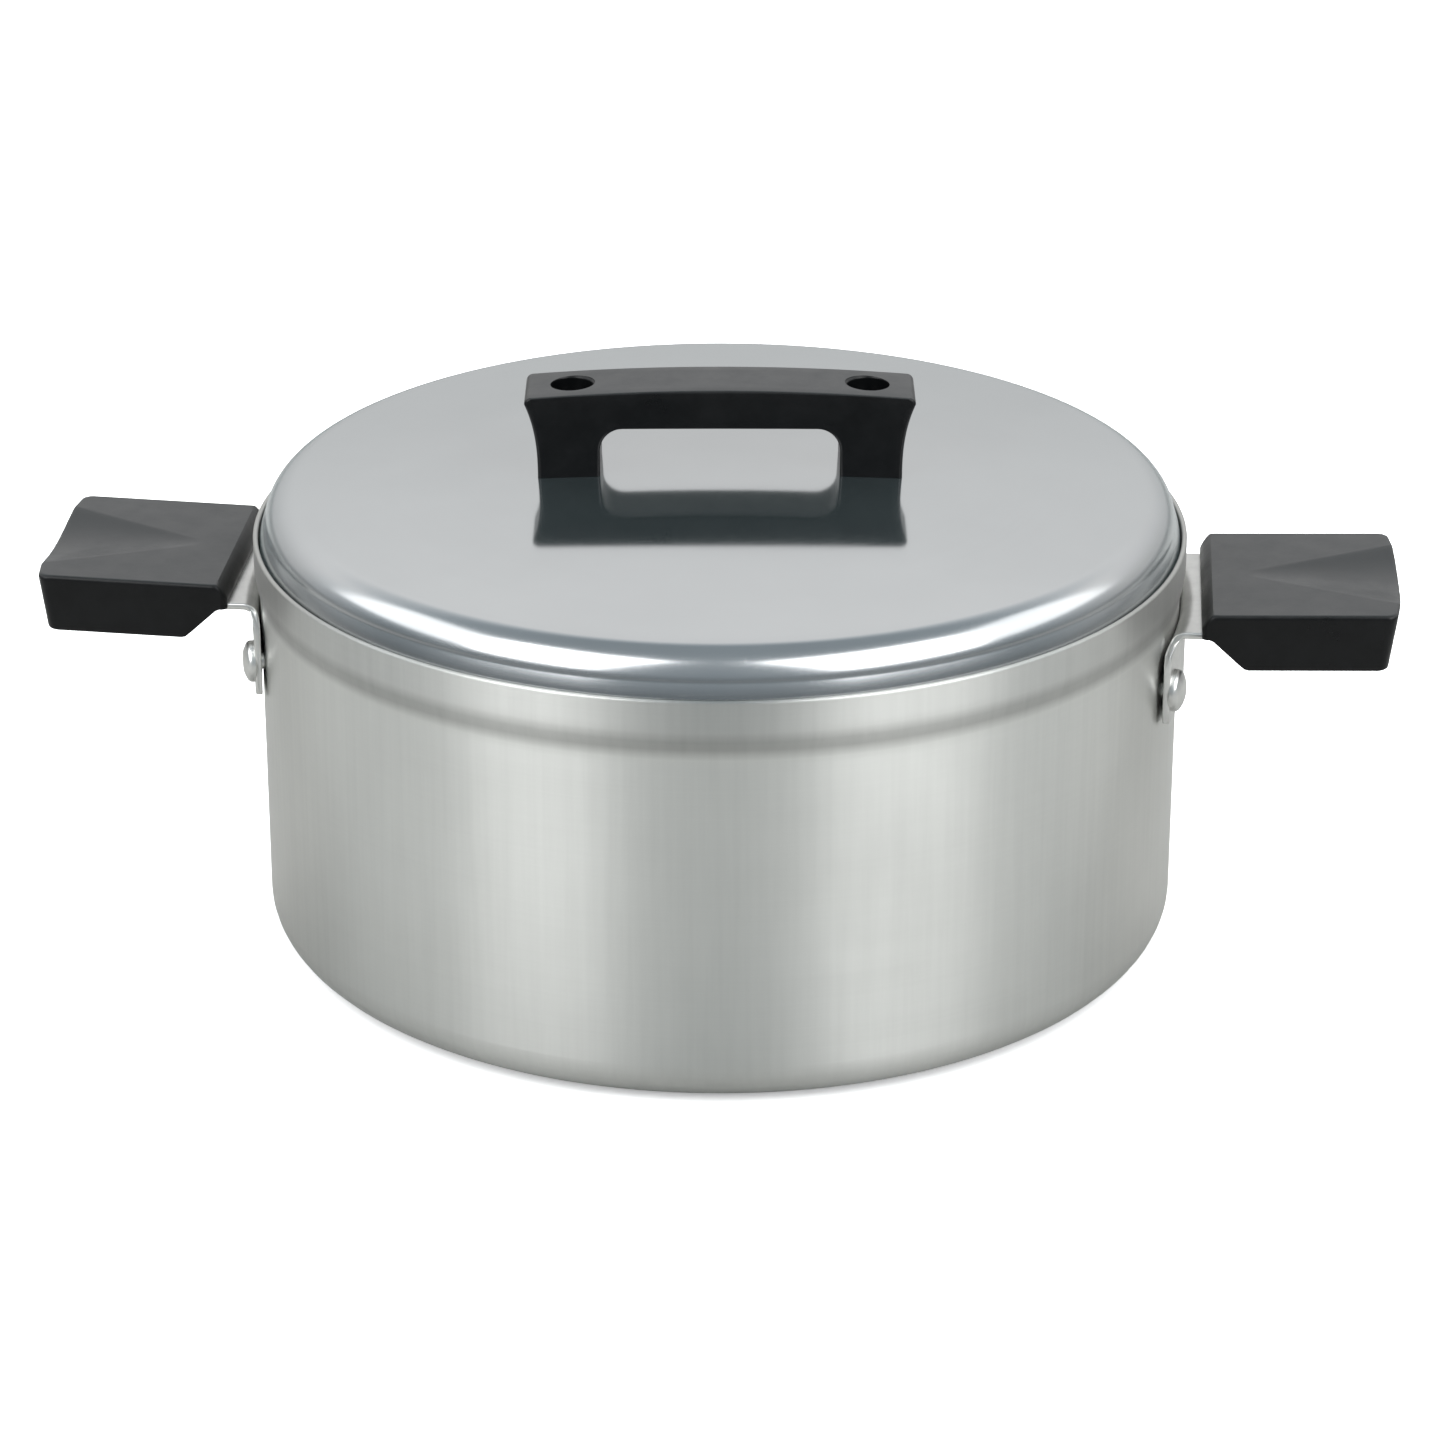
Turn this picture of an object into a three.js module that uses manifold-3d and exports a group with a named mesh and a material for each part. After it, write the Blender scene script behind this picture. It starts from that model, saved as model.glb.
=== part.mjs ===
// Two-handled aluminium casserole with a loose domed lid that sits inside the rim.
// Millimetres, +Z up. Origin: centre of the flat base. +X runs along the two side grips.

import * as THREE from "three";
import { mergeVertices } from "three/addons/utils/BufferGeometryUtils.js";
import Module from "manifold-3d";

const wasm = await Module();
wasm.setup();

// ---- Driving dimensions ----------------------------------------------------------------------

const GAP = 0.3;                 // clearance kept between touching pieces
const ROUND_STEPS = 72;          // facets round the pot and the lid
const SMALL_STEPS = 20;          // facets round screws, rivets and holes

// Pot
const POT_R = 110;               // outside radius of the straight wall
const POT_WALL = 1.3;            // sheet thickness of the wall
const BASE_T = 2.0;              // thickness of the base
const BASE_CORNER_R = 10;        // outside radius where base turns into wall
const STEP_LOW_Z = 86.6;         // where the wall starts to widen
const STEP_HIGH_Z = 92.0;        // where the widened band starts
const BAND_R = 111.2;            // outside radius of the widened band
const BAND_WALL = 1.2;           // sheet thickness of the band
const LEDGE_Z = 90.4;            // inner ledge that carries the lid's skirt
const LEDGE_DROP = 0.6;          // fall of the ledge towards the middle
const RIM_Z = 100.3;             // top of the rim

// Lid
const LID_TURN = 4.7;            // degrees the lid stands turned on its ledge
const LID_R = 109.6;             // outside radius of the skirt
const LID_T = 1.1;               // sheet thickness of the lid
const SHOULDER_R = 8;            // outside radius of the rounded shoulder
const SHOULDER_Z = 110.3;        // height at the top of the shoulder
const DOME_Z = 115.3;            // height at the middle of the dome

// Lid handle
const HANDLE_TOP_L = 92;         // length across the flared top
const HANDLE_WAIST_L = 86;       // length at the waist and foot
const HANDLE_DEPTH = 18.5;       // front to back
const HANDLE_TOP_Z = 134.3;      // height of the top at its ends
const HANDLE_ARCH = 1.8;         // rise of the top at its middle
const HANDLE_WAIST_RISE = 12;    // the ends start to flare this far above the foot
const WINDOW_L = 56.5;           // length of the finger window
const WINDOW_TOP_Z = 126.6;      // height of the underside of the bridge
const WINDOW_CORNER_R = 5.5;     // radius in the window's upper corners
const HANDLE_EDGE = 0.8;         // bevel along the moulded edges
const SCREW_X = 35;              // screws stand this far each side of the middle
const COUNTERBORE_R = 5;
const COUNTERBORE_Z = 129.4;     // floor of the counterbores

// M4 fasteners
const M4_R = 2;
const M4_HOLE_R = M4_R + GAP;
const SCREW_HEAD_R = 4;
const SCREW_HEAD_H = 2.2;        // lid handle screws
const SCREW_HEAD_EDGE = 0.6;     // bevel round a screw's head
const WASHER_R = 5;
const WASHER_T = 1;
const WASHER_TOP_Z = 113.0;
const NUT_R = 4.04;              // across corners, half
const NUT_T = 3.2;
const LID_SCREW_END_Z = 107.2;

// Brackets and rivets
const PLATE_T = 1.6;
const FLANGE_R = 110.8;          // inside radius of the flange, which follows the wall
const FLANGE_HALF_W = 31.5;
const FLANGE_LOW_Z = 64;
const FLANGE_CORNER = 1.5;       // corners clipped off the flange's lower edge
const NARROW_Z = 81.0;           // the flange narrows to the tongue above this height
const BEND_R = 2;                // inside radius of the bend
const TONGUE_TOP_Z = 85.5;
const TONGUE_HALF_W = 26;        // at the bend
const TONGUE_TIP_HALF_W = 20;    // inside the grip
const TONGUE_END_X = 139;
const TAPER_START = 1;           // the tongue starts to narrow this far past the bend
const TAPER_END = 5;             // and stops narrowing this far past it
const TONGUE_LAP = 3;            // the bend's level end runs this far into the tongue
const SLOT_REACH = 5;            // the grip's slot is cut from this far outside its inner end
const RIVET_TURN = 14;           // degrees that each rivet stands round from the middle
const RIVET_Z = 71.5;
const RIVET_HEAD_R = 5;
const RIVET_HEAD_H = 2.7;
const RIVET_TAIL_R = 4.2;
const RIVET_TAIL_H = 1.8;
const RIVET_TAIL_EDGE = 0.8;     // bevel round the tail
const RIVET_BORE_REACH = 12;     // the bore's cutter runs this far each side of the wall

// Side grips, drawn level and then tilted about the inner end
const GRIP_TILT = 1.8;           // degrees that the outer end is raised
const GRIP_INNER_X = 115;        // end next to the pot
const GRIP_EDGE_X = 160.3;       // where the outer corners are
const GRIP_OUTER_X = 162.7;      // furthest point of the bowed end
const GRIP_CORNER_R = 4;         // outer corners
const GRIP_CORNER_OUT = 0.4;     // the bowed end starts this far outside the corners
const GRIP_END_LEAN = 2.5;       // the outer end's lower edge stands this far back from its upper one
const GRIP_W = 55;
const GRIP_TOP_Z = 90.4;
const GRIP_LOW_Z = 76.5;
const GRIP_SLOPE_X = 125.3;      // underside starts to rise towards the pot
const GRIP_SLOPE_Z = 84.4;       // height of the underside at the inner end
const GRIP_NOSE = 3;             // slope cut off the top edge next to the pot
const GRIP_EDGE = 1.2;           // bevel along the moulded edges
const SCOOP_START_X = 125;
const SCOOP_W = 38;              // width of the thumb scoop at the outer end
const SCOOP_DEPTH = 2.6;         // depth of the thumb scoop at the outer end
const GRIP_SCREW_X = 130;
const GRIP_RECESS = 2.2;         // depth of the screw's recess in the underside
const GRIP_SCREW_SINK = 0.2;     // the screw's head stands this far inside the recess
const GRIP_SCREW_END_Z = 87.5;
const INSERT_R = 3.2;
const INSERT_TOP_Z = 88;

// ---- Materials -------------------------------------------------------------------------------

const spunAluminium = new THREE.MeshStandardMaterial({ color: 0xb9bcb9, roughness: 0.35, metalness: 1 });
const polishedAluminium = new THREE.MeshStandardMaterial({ color: 0xc4c8ca, roughness: 0.2, metalness: 1 });
const blackResin = new THREE.MeshStandardMaterial({ color: 0x1c1e20, roughness: 0.42, metalness: 0 });
const rivetAluminium = new THREE.MeshStandardMaterial({ color: 0xc0c0bd, roughness: 0.4, metalness: 1 });
const platedSteel = new THREE.MeshStandardMaterial({ color: 0xa4a6a8, roughness: 0.3, metalness: 1 });
const blackenedSteel = new THREE.MeshStandardMaterial({ color: 0x2a2b2d, roughness: 0.45, metalness: 1 });
const brass = new THREE.MeshStandardMaterial({ color: 0xb89a55, roughness: 0.35, metalness: 1 });

// ---- Helpers ---------------------------------------------------------------------------------

// Turns a closed three.js geometry into a solid that can be cut and joined.
function toSolid(geometry) {
  geometry.deleteAttribute("normal");
  geometry.deleteAttribute("uv");
  const merged = mergeVertices(geometry, 1e-4);
  const index = merged.index.array;
  const kept = [];
  for (let i = 0; i < index.length; i += 3) {
    const corners = [index[i], index[i + 1], index[i + 2]];
    if (new Set(corners).size === 3) kept.push(...corners);
  }
  return new wasm.Manifold(new wasm.Mesh({
    numProp: 3,
    vertProperties: new Float32Array(merged.attributes.position.array),
    triVerts: new Uint32Array(kept),
  }));
}

// Gives a solid back as a named mesh.
function toMesh(name, solid, material) {
  const found = solid.getMesh();
  const geometry = new THREE.BufferGeometry();
  geometry.setAttribute("position", new THREE.BufferAttribute(found.vertProperties, 3));
  geometry.setIndex(new THREE.BufferAttribute(found.triVerts, 1));
  geometry.computeVertexNormals();
  const mesh = new THREE.Mesh(geometry, material);
  mesh.name = name;
  return mesh;
}

// Points on an arc about (cx, cy), angles in degrees, both ends included.
function arc(cx, cy, radius, from, to, steps) {
  const points = [];
  for (let i = 0; i <= steps; i += 1) {
    const angle = THREE.MathUtils.degToRad(from + ((to - from) * i) / steps);
    points.push(new THREE.Vector2(cx + radius * Math.cos(angle), cy + radius * Math.sin(angle)));
  }
  return points;
}

// Spins a profile of (radius, height) points about +Z.
function spun(profile, steps) {
  const geometry = new THREE.LatheGeometry(profile, steps);
  geometry.rotateX(Math.PI / 2);
  return toSolid(geometry);
}

// Round bar about a vertical axis, from height low to height high.
function uprightBar(radius, low, high, x, steps) {
  const geometry = new THREE.CylinderGeometry(radius, radius, high - low, steps);
  geometry.rotateX(Math.PI / 2);
  geometry.translate(x, 0, (low + high) / 2);
  return toSolid(geometry);
}

// Round bar pointing out of the pot's wall at rivet height, turned about the pot's axis.
function rivetBore(turn) {
  const low = POT_R - RIVET_BORE_REACH;
  const high = POT_R + RIVET_BORE_REACH;
  const geometry = new THREE.CylinderGeometry(M4_HOLE_R, M4_HOLE_R, high - low, SMALL_STEPS);
  geometry.rotateZ(Math.PI / 2);
  geometry.translate((low + high) / 2, 0, RIVET_Z);
  return toSolid(geometry).rotate([0, 0, turn]);
}

// Block between two corners.
function block(low, high) {
  const geometry = new THREE.BoxGeometry(high[0] - low[0], high[1] - low[1], high[2] - low[2]);
  geometry.translate((low[0] + high[0]) / 2, (low[1] + high[1]) / 2, (low[2] + high[2]) / 2);
  return toSolid(geometry);
}

// Extrudes an outline of (x, z) points along Y, centred on y = 0, with bevelled edges.
function acrossY(shape, width, bevel) {
  const geometry = new THREE.ExtrudeGeometry(shape, {
    depth: width - 2 * bevel,
    curveSegments: 6,
    bevelEnabled: bevel > 0,
    bevelThickness: bevel,
    bevelSize: bevel,
    bevelOffset: -bevel,
    bevelSegments: 2,
  });
  geometry.rotateX(Math.PI / 2);
  geometry.translate(0, width / 2 - bevel, 0);
  return toSolid(geometry);
}

// Radius of the sphere that the lid's upper surface belongs to.
function domeRadius() {
  const rise = DOME_Z - SHOULDER_Z;
  const reach = LID_R - SHOULDER_R;
  return (reach * reach + rise * rise) / (2 * rise);
}

// Height of the lid's upper surface at a distance from its middle.
function domeZ(distance) {
  const radius = domeRadius();
  return DOME_Z - radius + Math.sqrt(radius * radius - distance * distance);
}

// ---- Pot -------------------------------------------------------------------------------------

function potShell() {
  const innerR = POT_R - POT_WALL;
  const bandInnerR = BAND_R - BAND_WALL;
  const lipR = BAND_WALL / 2;
  const stepRise = STEP_HIGH_Z - STEP_LOW_Z;
  const cornerSteps = 7;
  const profile = [
    new THREE.Vector2(0, 0),
    ...arc(POT_R - BASE_CORNER_R, BASE_CORNER_R, BASE_CORNER_R, -90, 0, cornerSteps),
    new THREE.Vector2(POT_R, STEP_LOW_Z),
    new THREE.Vector2((POT_R * 3 + BAND_R) / 4, STEP_LOW_Z + stepRise / 3),
    new THREE.Vector2((POT_R + BAND_R * 3) / 4, STEP_LOW_Z + (stepRise * 2) / 3),
    new THREE.Vector2(BAND_R, STEP_HIGH_Z),
    ...arc(BAND_R - lipR, RIM_Z - lipR, lipR, 0, 180, 4),
    new THREE.Vector2(bandInnerR, LEDGE_Z),
    new THREE.Vector2(innerR, LEDGE_Z - LEDGE_DROP),
    ...arc(innerR - BASE_CORNER_R + BASE_T, BASE_CORNER_R, BASE_CORNER_R - BASE_T, 0, -90, cornerSteps),
    new THREE.Vector2(0, BASE_T),
  ];
  let shell = spun(profile, ROUND_STEPS);
  for (const side of [0, 180]) {
    shell = shell.subtract(rivetBore(side - RIVET_TURN)).subtract(rivetBore(side + RIVET_TURN));
  }
  return toMesh("pot_shell", shell, spunAluminium);
}

// ---- Side handles, drawn for the +X side -----------------------------------------------------

// Section of the bracket: flange against the wall, bend, then the start of the tongue.
function bracketSection() {
  const outR = FLANGE_R + PLATE_T;
  const bendR = outR + BEND_R;
  const bendZ = TONGUE_TOP_Z - PLATE_T - BEND_R;
  const tongueR = bendR + TONGUE_LAP;
  return [
    new THREE.Vector2(FLANGE_R, FLANGE_LOW_Z),
    new THREE.Vector2(outR, FLANGE_LOW_Z),
    ...arc(bendR, bendZ, BEND_R, 180, 90, 4),
    new THREE.Vector2(tongueR, TONGUE_TOP_Z - PLATE_T),
    new THREE.Vector2(tongueR, TONGUE_TOP_Z),
    ...arc(bendR, bendZ, BEND_R + PLATE_T, 90, 180, 5),
    new THREE.Vector2(FLANGE_R, FLANGE_LOW_Z),
  ];
}

// Outline of the bracket seen along X, as a prism through the +X side.
function bracketOutline() {
  const half = [
    [FLANGE_HALF_W - FLANGE_CORNER, FLANGE_LOW_Z - 0.01],
    [FLANGE_HALF_W, FLANGE_LOW_Z + FLANGE_CORNER],
    [FLANGE_HALF_W, NARROW_Z],
    [TONGUE_HALF_W, TONGUE_TOP_Z - PLATE_T],
    [TONGUE_HALF_W, TONGUE_TOP_Z + 1],
  ];
  const points = [
    ...half.map(([y, z]) => new THREE.Vector2(y, z)),
    ...half.reverse().map(([y, z]) => new THREE.Vector2(-y, z)),
  ];
  const geometry = new THREE.ExtrudeGeometry(new THREE.Shape(points), { depth: 60, bevelEnabled: false });
  geometry.rotateX(Math.PI / 2);
  geometry.rotateZ(Math.PI / 2);
  geometry.translate(FLANGE_R - 30, 0, 0);
  return toSolid(geometry);
}

// Plan outline of the tongue from startX outwards, narrowing into the grip, grown by a margin.
function tonguePlate(startX, margin, low, high) {
  const bendEndX = FLANGE_R + PLATE_T + BEND_R;
  const half = [
    [startX, TONGUE_HALF_W + margin],
    [bendEndX + TAPER_START, TONGUE_HALF_W + margin],
    [bendEndX + TAPER_END, TONGUE_TIP_HALF_W + margin],
    [TONGUE_END_X + margin, TONGUE_TIP_HALF_W + margin],
  ];
  const points = [
    ...half.map(([x, y]) => new THREE.Vector2(x, -y)),
    ...half.reverse().map(([x, y]) => new THREE.Vector2(x, y)),
  ];
  const shape = new THREE.Shape(points);
  const geometry = new THREE.ExtrudeGeometry(shape, { depth: high - low, bevelEnabled: false });
  geometry.translate(0, 0, low);
  return toSolid(geometry);
}

// Raises the outer end of a piece of the grip about the inner end.
function tilted(solid) {
  return solid
    .translate([-GRIP_INNER_X, 0, -TONGUE_TOP_Z])
    .rotate([0, -GRIP_TILT, 0])
    .translate([GRIP_INNER_X, 0, TONGUE_TOP_Z]);
}

function bracket() {
  const screwHole = uprightBar(M4_HOLE_R, TONGUE_TOP_Z - 5, TONGUE_TOP_Z + 5, GRIP_SCREW_X, SMALL_STEPS);
  const startX = FLANGE_R + PLATE_T + BEND_R - 0.2;
  const tongue = tonguePlate(startX, 0, TONGUE_TOP_Z - PLATE_T, TONGUE_TOP_Z).subtract(screwHole);
  return spun(bracketSection(), ROUND_STEPS)
    .intersect(bracketOutline())
    .add(tilted(tongue))
    .subtract(rivetBore(-RIVET_TURN))
    .subtract(rivetBore(RIVET_TURN));
}

// Domed head outside the flange, shank through flange and wall, spread tail inside the pot.
function rivet(turn) {
  const wallIn = Math.sqrt((POT_R - POT_WALL) ** 2 - RIVET_TAIL_R ** 2);
  const tailX = wallIn - GAP;
  const headX = FLANGE_R + PLATE_T + GAP;
  const domeR = (RIVET_HEAD_R ** 2 + RIVET_HEAD_H ** 2) / (2 * RIVET_HEAD_H);
  const domeStart = THREE.MathUtils.radToDeg(Math.acos(RIVET_HEAD_R / domeR));
  const profile = [
    new THREE.Vector2(0, tailX - RIVET_TAIL_H),
    new THREE.Vector2(RIVET_TAIL_R - RIVET_TAIL_EDGE, tailX - RIVET_TAIL_H),
    new THREE.Vector2(RIVET_TAIL_R, tailX - RIVET_TAIL_H + RIVET_TAIL_EDGE),
    new THREE.Vector2(RIVET_TAIL_R, tailX),
    new THREE.Vector2(M4_R, tailX),
    new THREE.Vector2(M4_R, headX),
    ...arc(0, headX + RIVET_HEAD_H - domeR, domeR, domeStart, 90, 5),
  ];
  const geometry = new THREE.LatheGeometry(profile, SMALL_STEPS);
  geometry.rotateZ(-Math.PI / 2);
  geometry.translate(0, 0, RIVET_Z);
  return toSolid(geometry).rotate([0, 0, turn]);
}

// Plan outline of a grip: straight sides, rounded corners and a bowed outer end.
function gripOutline() {
  const half = GRIP_W / 2;
  const shape = new THREE.Shape();
  shape.moveTo(GRIP_INNER_X, -half);
  shape.lineTo(GRIP_EDGE_X - GRIP_CORNER_R, -half);
  shape.quadraticCurveTo(GRIP_EDGE_X, -half, GRIP_EDGE_X + GRIP_CORNER_OUT, GRIP_CORNER_R - half);
  shape.quadraticCurveTo(GRIP_OUTER_X, -half / 2, GRIP_OUTER_X, 0);
  shape.quadraticCurveTo(GRIP_OUTER_X, half / 2, GRIP_EDGE_X + GRIP_CORNER_OUT, half - GRIP_CORNER_R);
  shape.quadraticCurveTo(GRIP_EDGE_X, half, GRIP_EDGE_X - GRIP_CORNER_R, half);
  shape.lineTo(GRIP_INNER_X, half);
  return shape;
}

// Wedge taken off the underside next to the pot.
function gripSlope() {
  const shape = new THREE.Shape([
    new THREE.Vector2(GRIP_INNER_X - 2, GRIP_LOW_Z - 2),
    new THREE.Vector2(GRIP_SLOPE_X, GRIP_LOW_Z - 2),
    new THREE.Vector2(GRIP_SLOPE_X, GRIP_LOW_Z),
    new THREE.Vector2(GRIP_INNER_X, GRIP_SLOPE_Z),
    new THREE.Vector2(GRIP_INNER_X - 2, GRIP_SLOPE_Z),
  ]);
  return acrossY(shape, GRIP_W + 2, 0);
}

// Thumb scoop: a flat cone that widens and deepens towards the outer end.
function gripScoop() {
  const length = GRIP_OUTER_X - SCOOP_START_X;
  const geometry = new THREE.ConeGeometry(1, length, 24);
  geometry.rotateZ(Math.PI / 2);
  geometry.scale(1, SCOOP_W / 2, SCOOP_DEPTH);
  geometry.translate(SCOOP_START_X + length / 2, 0, GRIP_TOP_Z);
  return toSolid(geometry);
}

// Slope taken off the top edge next to the pot.
function gripNose() {
  const shape = new THREE.Shape([
    new THREE.Vector2(GRIP_INNER_X - 1, GRIP_TOP_Z - GRIP_NOSE - 1),
    new THREE.Vector2(GRIP_INNER_X + GRIP_NOSE, GRIP_TOP_Z),
    new THREE.Vector2(GRIP_INNER_X + GRIP_NOSE, GRIP_TOP_Z + 1),
    new THREE.Vector2(GRIP_INNER_X - 1, GRIP_TOP_Z + 1),
  ]);
  return acrossY(shape, GRIP_W + 2, 0);
}

// Draws the outer half of a grip in towards the pot, not at its top and the most at its bottom.
function leanOuterEnd(geometry) {
  const spots = geometry.attributes.position;
  for (let i = 0; i < spots.count; i += 1) {
    const along = Math.max(0, (spots.getX(i) - GRIP_SCREW_X) / (GRIP_OUTER_X - GRIP_SCREW_X));
    const down = (GRIP_TOP_Z - spots.getZ(i)) / (GRIP_TOP_Z - GRIP_LOW_Z);
    spots.setX(i, spots.getX(i) - GRIP_END_LEAN * along * down);
  }
}

function grip() {
  const geometry = new THREE.ExtrudeGeometry(gripOutline(), {
    depth: GRIP_TOP_Z - GRIP_LOW_Z - 2 * GRIP_EDGE,
    curveSegments: 6,
    bevelThickness: GRIP_EDGE,
    bevelSize: GRIP_EDGE,
    bevelOffset: -GRIP_EDGE,
    bevelSegments: 2,
  });
  geometry.translate(0, 0, GRIP_LOW_Z + GRIP_EDGE);
  leanOuterEnd(geometry);
  const slotHigh = TONGUE_TOP_Z + GAP;
  const slot = tonguePlate(GRIP_INNER_X - SLOT_REACH, GAP, TONGUE_TOP_Z - PLATE_T - GAP, slotHigh);
  const pocket = uprightBar(INSERT_R + GAP, slotHigh - 1, INSERT_TOP_Z + GAP, GRIP_SCREW_X, SMALL_STEPS);
  const screwHole = uprightBar(M4_HOLE_R, GRIP_LOW_Z - 1, slotHigh, GRIP_SCREW_X, SMALL_STEPS);
  const recessTop = GRIP_LOW_Z + GRIP_RECESS;
  const recess = uprightBar(SCREW_HEAD_R + 2 * GAP, GRIP_LOW_Z - 1, recessTop, GRIP_SCREW_X, SMALL_STEPS);
  return toSolid(geometry)
    .subtract(gripSlope())
    .subtract(gripNose())
    .subtract(gripScoop())
    .subtract(slot)
    .subtract(pocket)
    .subtract(screwHole)
    .subtract(recess);
}

// Pan head below, in the recess of the grip, shank up into the insert.
function gripScrew() {
  const headLow = GRIP_LOW_Z + GRIP_SCREW_SINK;
  const headHigh = GRIP_LOW_Z + GRIP_RECESS - GAP;
  const profile = [
    new THREE.Vector2(0, headLow),
    new THREE.Vector2(SCREW_HEAD_R - SCREW_HEAD_EDGE, headLow),
    new THREE.Vector2(SCREW_HEAD_R, headLow + SCREW_HEAD_EDGE),
    new THREE.Vector2(SCREW_HEAD_R, headHigh),
    new THREE.Vector2(M4_R, headHigh),
    new THREE.Vector2(M4_R, GRIP_SCREW_END_Z),
    new THREE.Vector2(0, GRIP_SCREW_END_Z),
  ];
  return crossCut(spun(profile, SMALL_STEPS).translate([GRIP_SCREW_X, 0, 0]), GRIP_SCREW_X, headLow, 1);
}

// Cross recess in a screw head: up is 1 when the driver comes from below, -1 from above.
function crossCut(screw, x, headZ, up) {
  const arm = 2.2;
  const half = 0.45;
  const depth = 1.1;
  const low = Math.min(headZ - up, headZ + up * depth);
  const high = Math.max(headZ - up, headZ + up * depth);
  const along = block([x - arm, -half, low], [x + arm, half, high]);
  const across = block([x - half, -arm, low], [x + half, arm, high]);
  return screw.subtract(along).subtract(across);
}

function gripInsert() {
  const low = TONGUE_TOP_Z + GAP + GAP;
  const body = uprightBar(INSERT_R, low, INSERT_TOP_Z, GRIP_SCREW_X, SMALL_STEPS);
  const thread = uprightBar(M4_HOLE_R, low - 1, INSERT_TOP_Z + 1, GRIP_SCREW_X, SMALL_STEPS);
  return body.subtract(thread);
}

// One side handle; the left one is the right one turned half way round +Z.
function sideHandle(side) {
  const turn = side === "right" ? 0 : 180;
  const frontTurn = side === "right" ? -RIVET_TURN : RIVET_TURN;
  const placed = (solid) => solid.rotate([0, 0, turn]);
  const handle = new THREE.Group();
  handle.add(toMesh(`handle_bracket_${side}`, placed(bracket()), rivetAluminium));
  handle.add(toMesh(`bracket_rivet_${side}_front`, placed(rivet(frontTurn)), rivetAluminium));
  handle.add(toMesh(`bracket_rivet_${side}_rear`, placed(rivet(-frontTurn)), rivetAluminium));
  handle.add(toMesh(`side_grip_${side}`, placed(tilted(grip())), blackResin));
  handle.add(toMesh(`grip_screw_${side}`, placed(tilted(gripScrew())), platedSteel));
  handle.add(toMesh(`grip_insert_${side}`, placed(tilted(gripInsert())), brass));
  return handle;
}

// ---- Lid, drawn unturned ---------------------------------------------------------------------

// Half of the lid's section at an inward offset: dome from the axis out, shoulder, then skirt.
function lidSection(offset, skirtLow) {
  const radius = domeRadius();
  const lean = THREE.MathUtils.radToDeg(Math.asin((LID_R - SHOULDER_R) / (radius - SHOULDER_R)));
  const centreR = (radius - SHOULDER_R) * Math.sin(THREE.MathUtils.degToRad(lean));
  const centreZ = DOME_Z - radius + (radius - SHOULDER_R) * Math.cos(THREE.MathUtils.degToRad(lean));
  return [
    ...arc(0, DOME_Z - radius, radius - offset, 90, 90 - lean, 7),
    ...arc(centreR, centreZ, SHOULDER_R - offset, 90 - lean, 0, 6).slice(1),
    new THREE.Vector2(LID_R - offset, skirtLow),
  ];
}

function lidShell() {
  const skirtLow = LEDGE_Z + GAP;
  const outside = lidSection(0, skirtLow);
  const inside = lidSection(LID_T, skirtLow);
  let shell = spun([...inside, ...outside.reverse()], ROUND_STEPS);
  for (const side of [-1, 1]) {
    shell = shell.subtract(uprightBar(M4_HOLE_R, SHOULDER_Z - 5, DOME_Z + 5, side * SCREW_X, SMALL_STEPS));
  }
  return shell;
}

// Side outline of the lid handle: flared ends, arched top and open finger window between two legs.
function handleOutline() {
  const top = HANDLE_TOP_L / 2;
  const waist = HANDLE_WAIST_L / 2;
  const window = WINDOW_L / 2;
  const footZ = domeZ(waist) + GAP;
  const innerZ = domeZ(window) + GAP;
  const waistZ = footZ + HANDLE_WAIST_RISE;
  const shape = new THREE.Shape();
  shape.moveTo(-waist, footZ);
  shape.lineTo(-window, innerZ);
  shape.lineTo(-window, WINDOW_TOP_Z - WINDOW_CORNER_R);
  shape.quadraticCurveTo(-window, WINDOW_TOP_Z, WINDOW_CORNER_R - window, WINDOW_TOP_Z);
  shape.lineTo(window - WINDOW_CORNER_R, WINDOW_TOP_Z);
  shape.quadraticCurveTo(window, WINDOW_TOP_Z, window, WINDOW_TOP_Z - WINDOW_CORNER_R);
  shape.lineTo(window, innerZ);
  shape.lineTo(waist, footZ);
  shape.quadraticCurveTo(waist, waistZ, top, HANDLE_TOP_Z);
  shape.quadraticCurveTo(0, HANDLE_TOP_Z + 2 * HANDLE_ARCH, -top, HANDLE_TOP_Z);
  shape.quadraticCurveTo(-waist, waistZ, -waist, footZ);
  return shape;
}

function lidHandle() {
  let handle = acrossY(handleOutline(), HANDLE_DEPTH, HANDLE_EDGE);
  for (const side of [-1, 1]) {
    const x = side * SCREW_X;
    const hole = uprightBar(M4_HOLE_R, SHOULDER_Z, COUNTERBORE_Z + 1, x, SMALL_STEPS);
    const counterbore = uprightBar(COUNTERBORE_R, COUNTERBORE_Z, HANDLE_TOP_Z + 5, x, SMALL_STEPS);
    handle = handle.subtract(hole).subtract(counterbore);
  }
  return handle;
}

function lidScrew(x) {
  const headLow = COUNTERBORE_Z + GAP;
  const headHigh = headLow + SCREW_HEAD_H;
  const profile = [
    new THREE.Vector2(0, LID_SCREW_END_Z),
    new THREE.Vector2(M4_R, LID_SCREW_END_Z),
    new THREE.Vector2(M4_R, headLow),
    new THREE.Vector2(SCREW_HEAD_R, headLow),
    new THREE.Vector2(SCREW_HEAD_R, headHigh - SCREW_HEAD_EDGE),
    new THREE.Vector2(SCREW_HEAD_R - SCREW_HEAD_EDGE, headHigh),
    new THREE.Vector2(0, headHigh),
  ];
  return crossCut(spun(profile, SMALL_STEPS).translate([x, 0, 0]), x, headHigh, -1);
}

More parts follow.
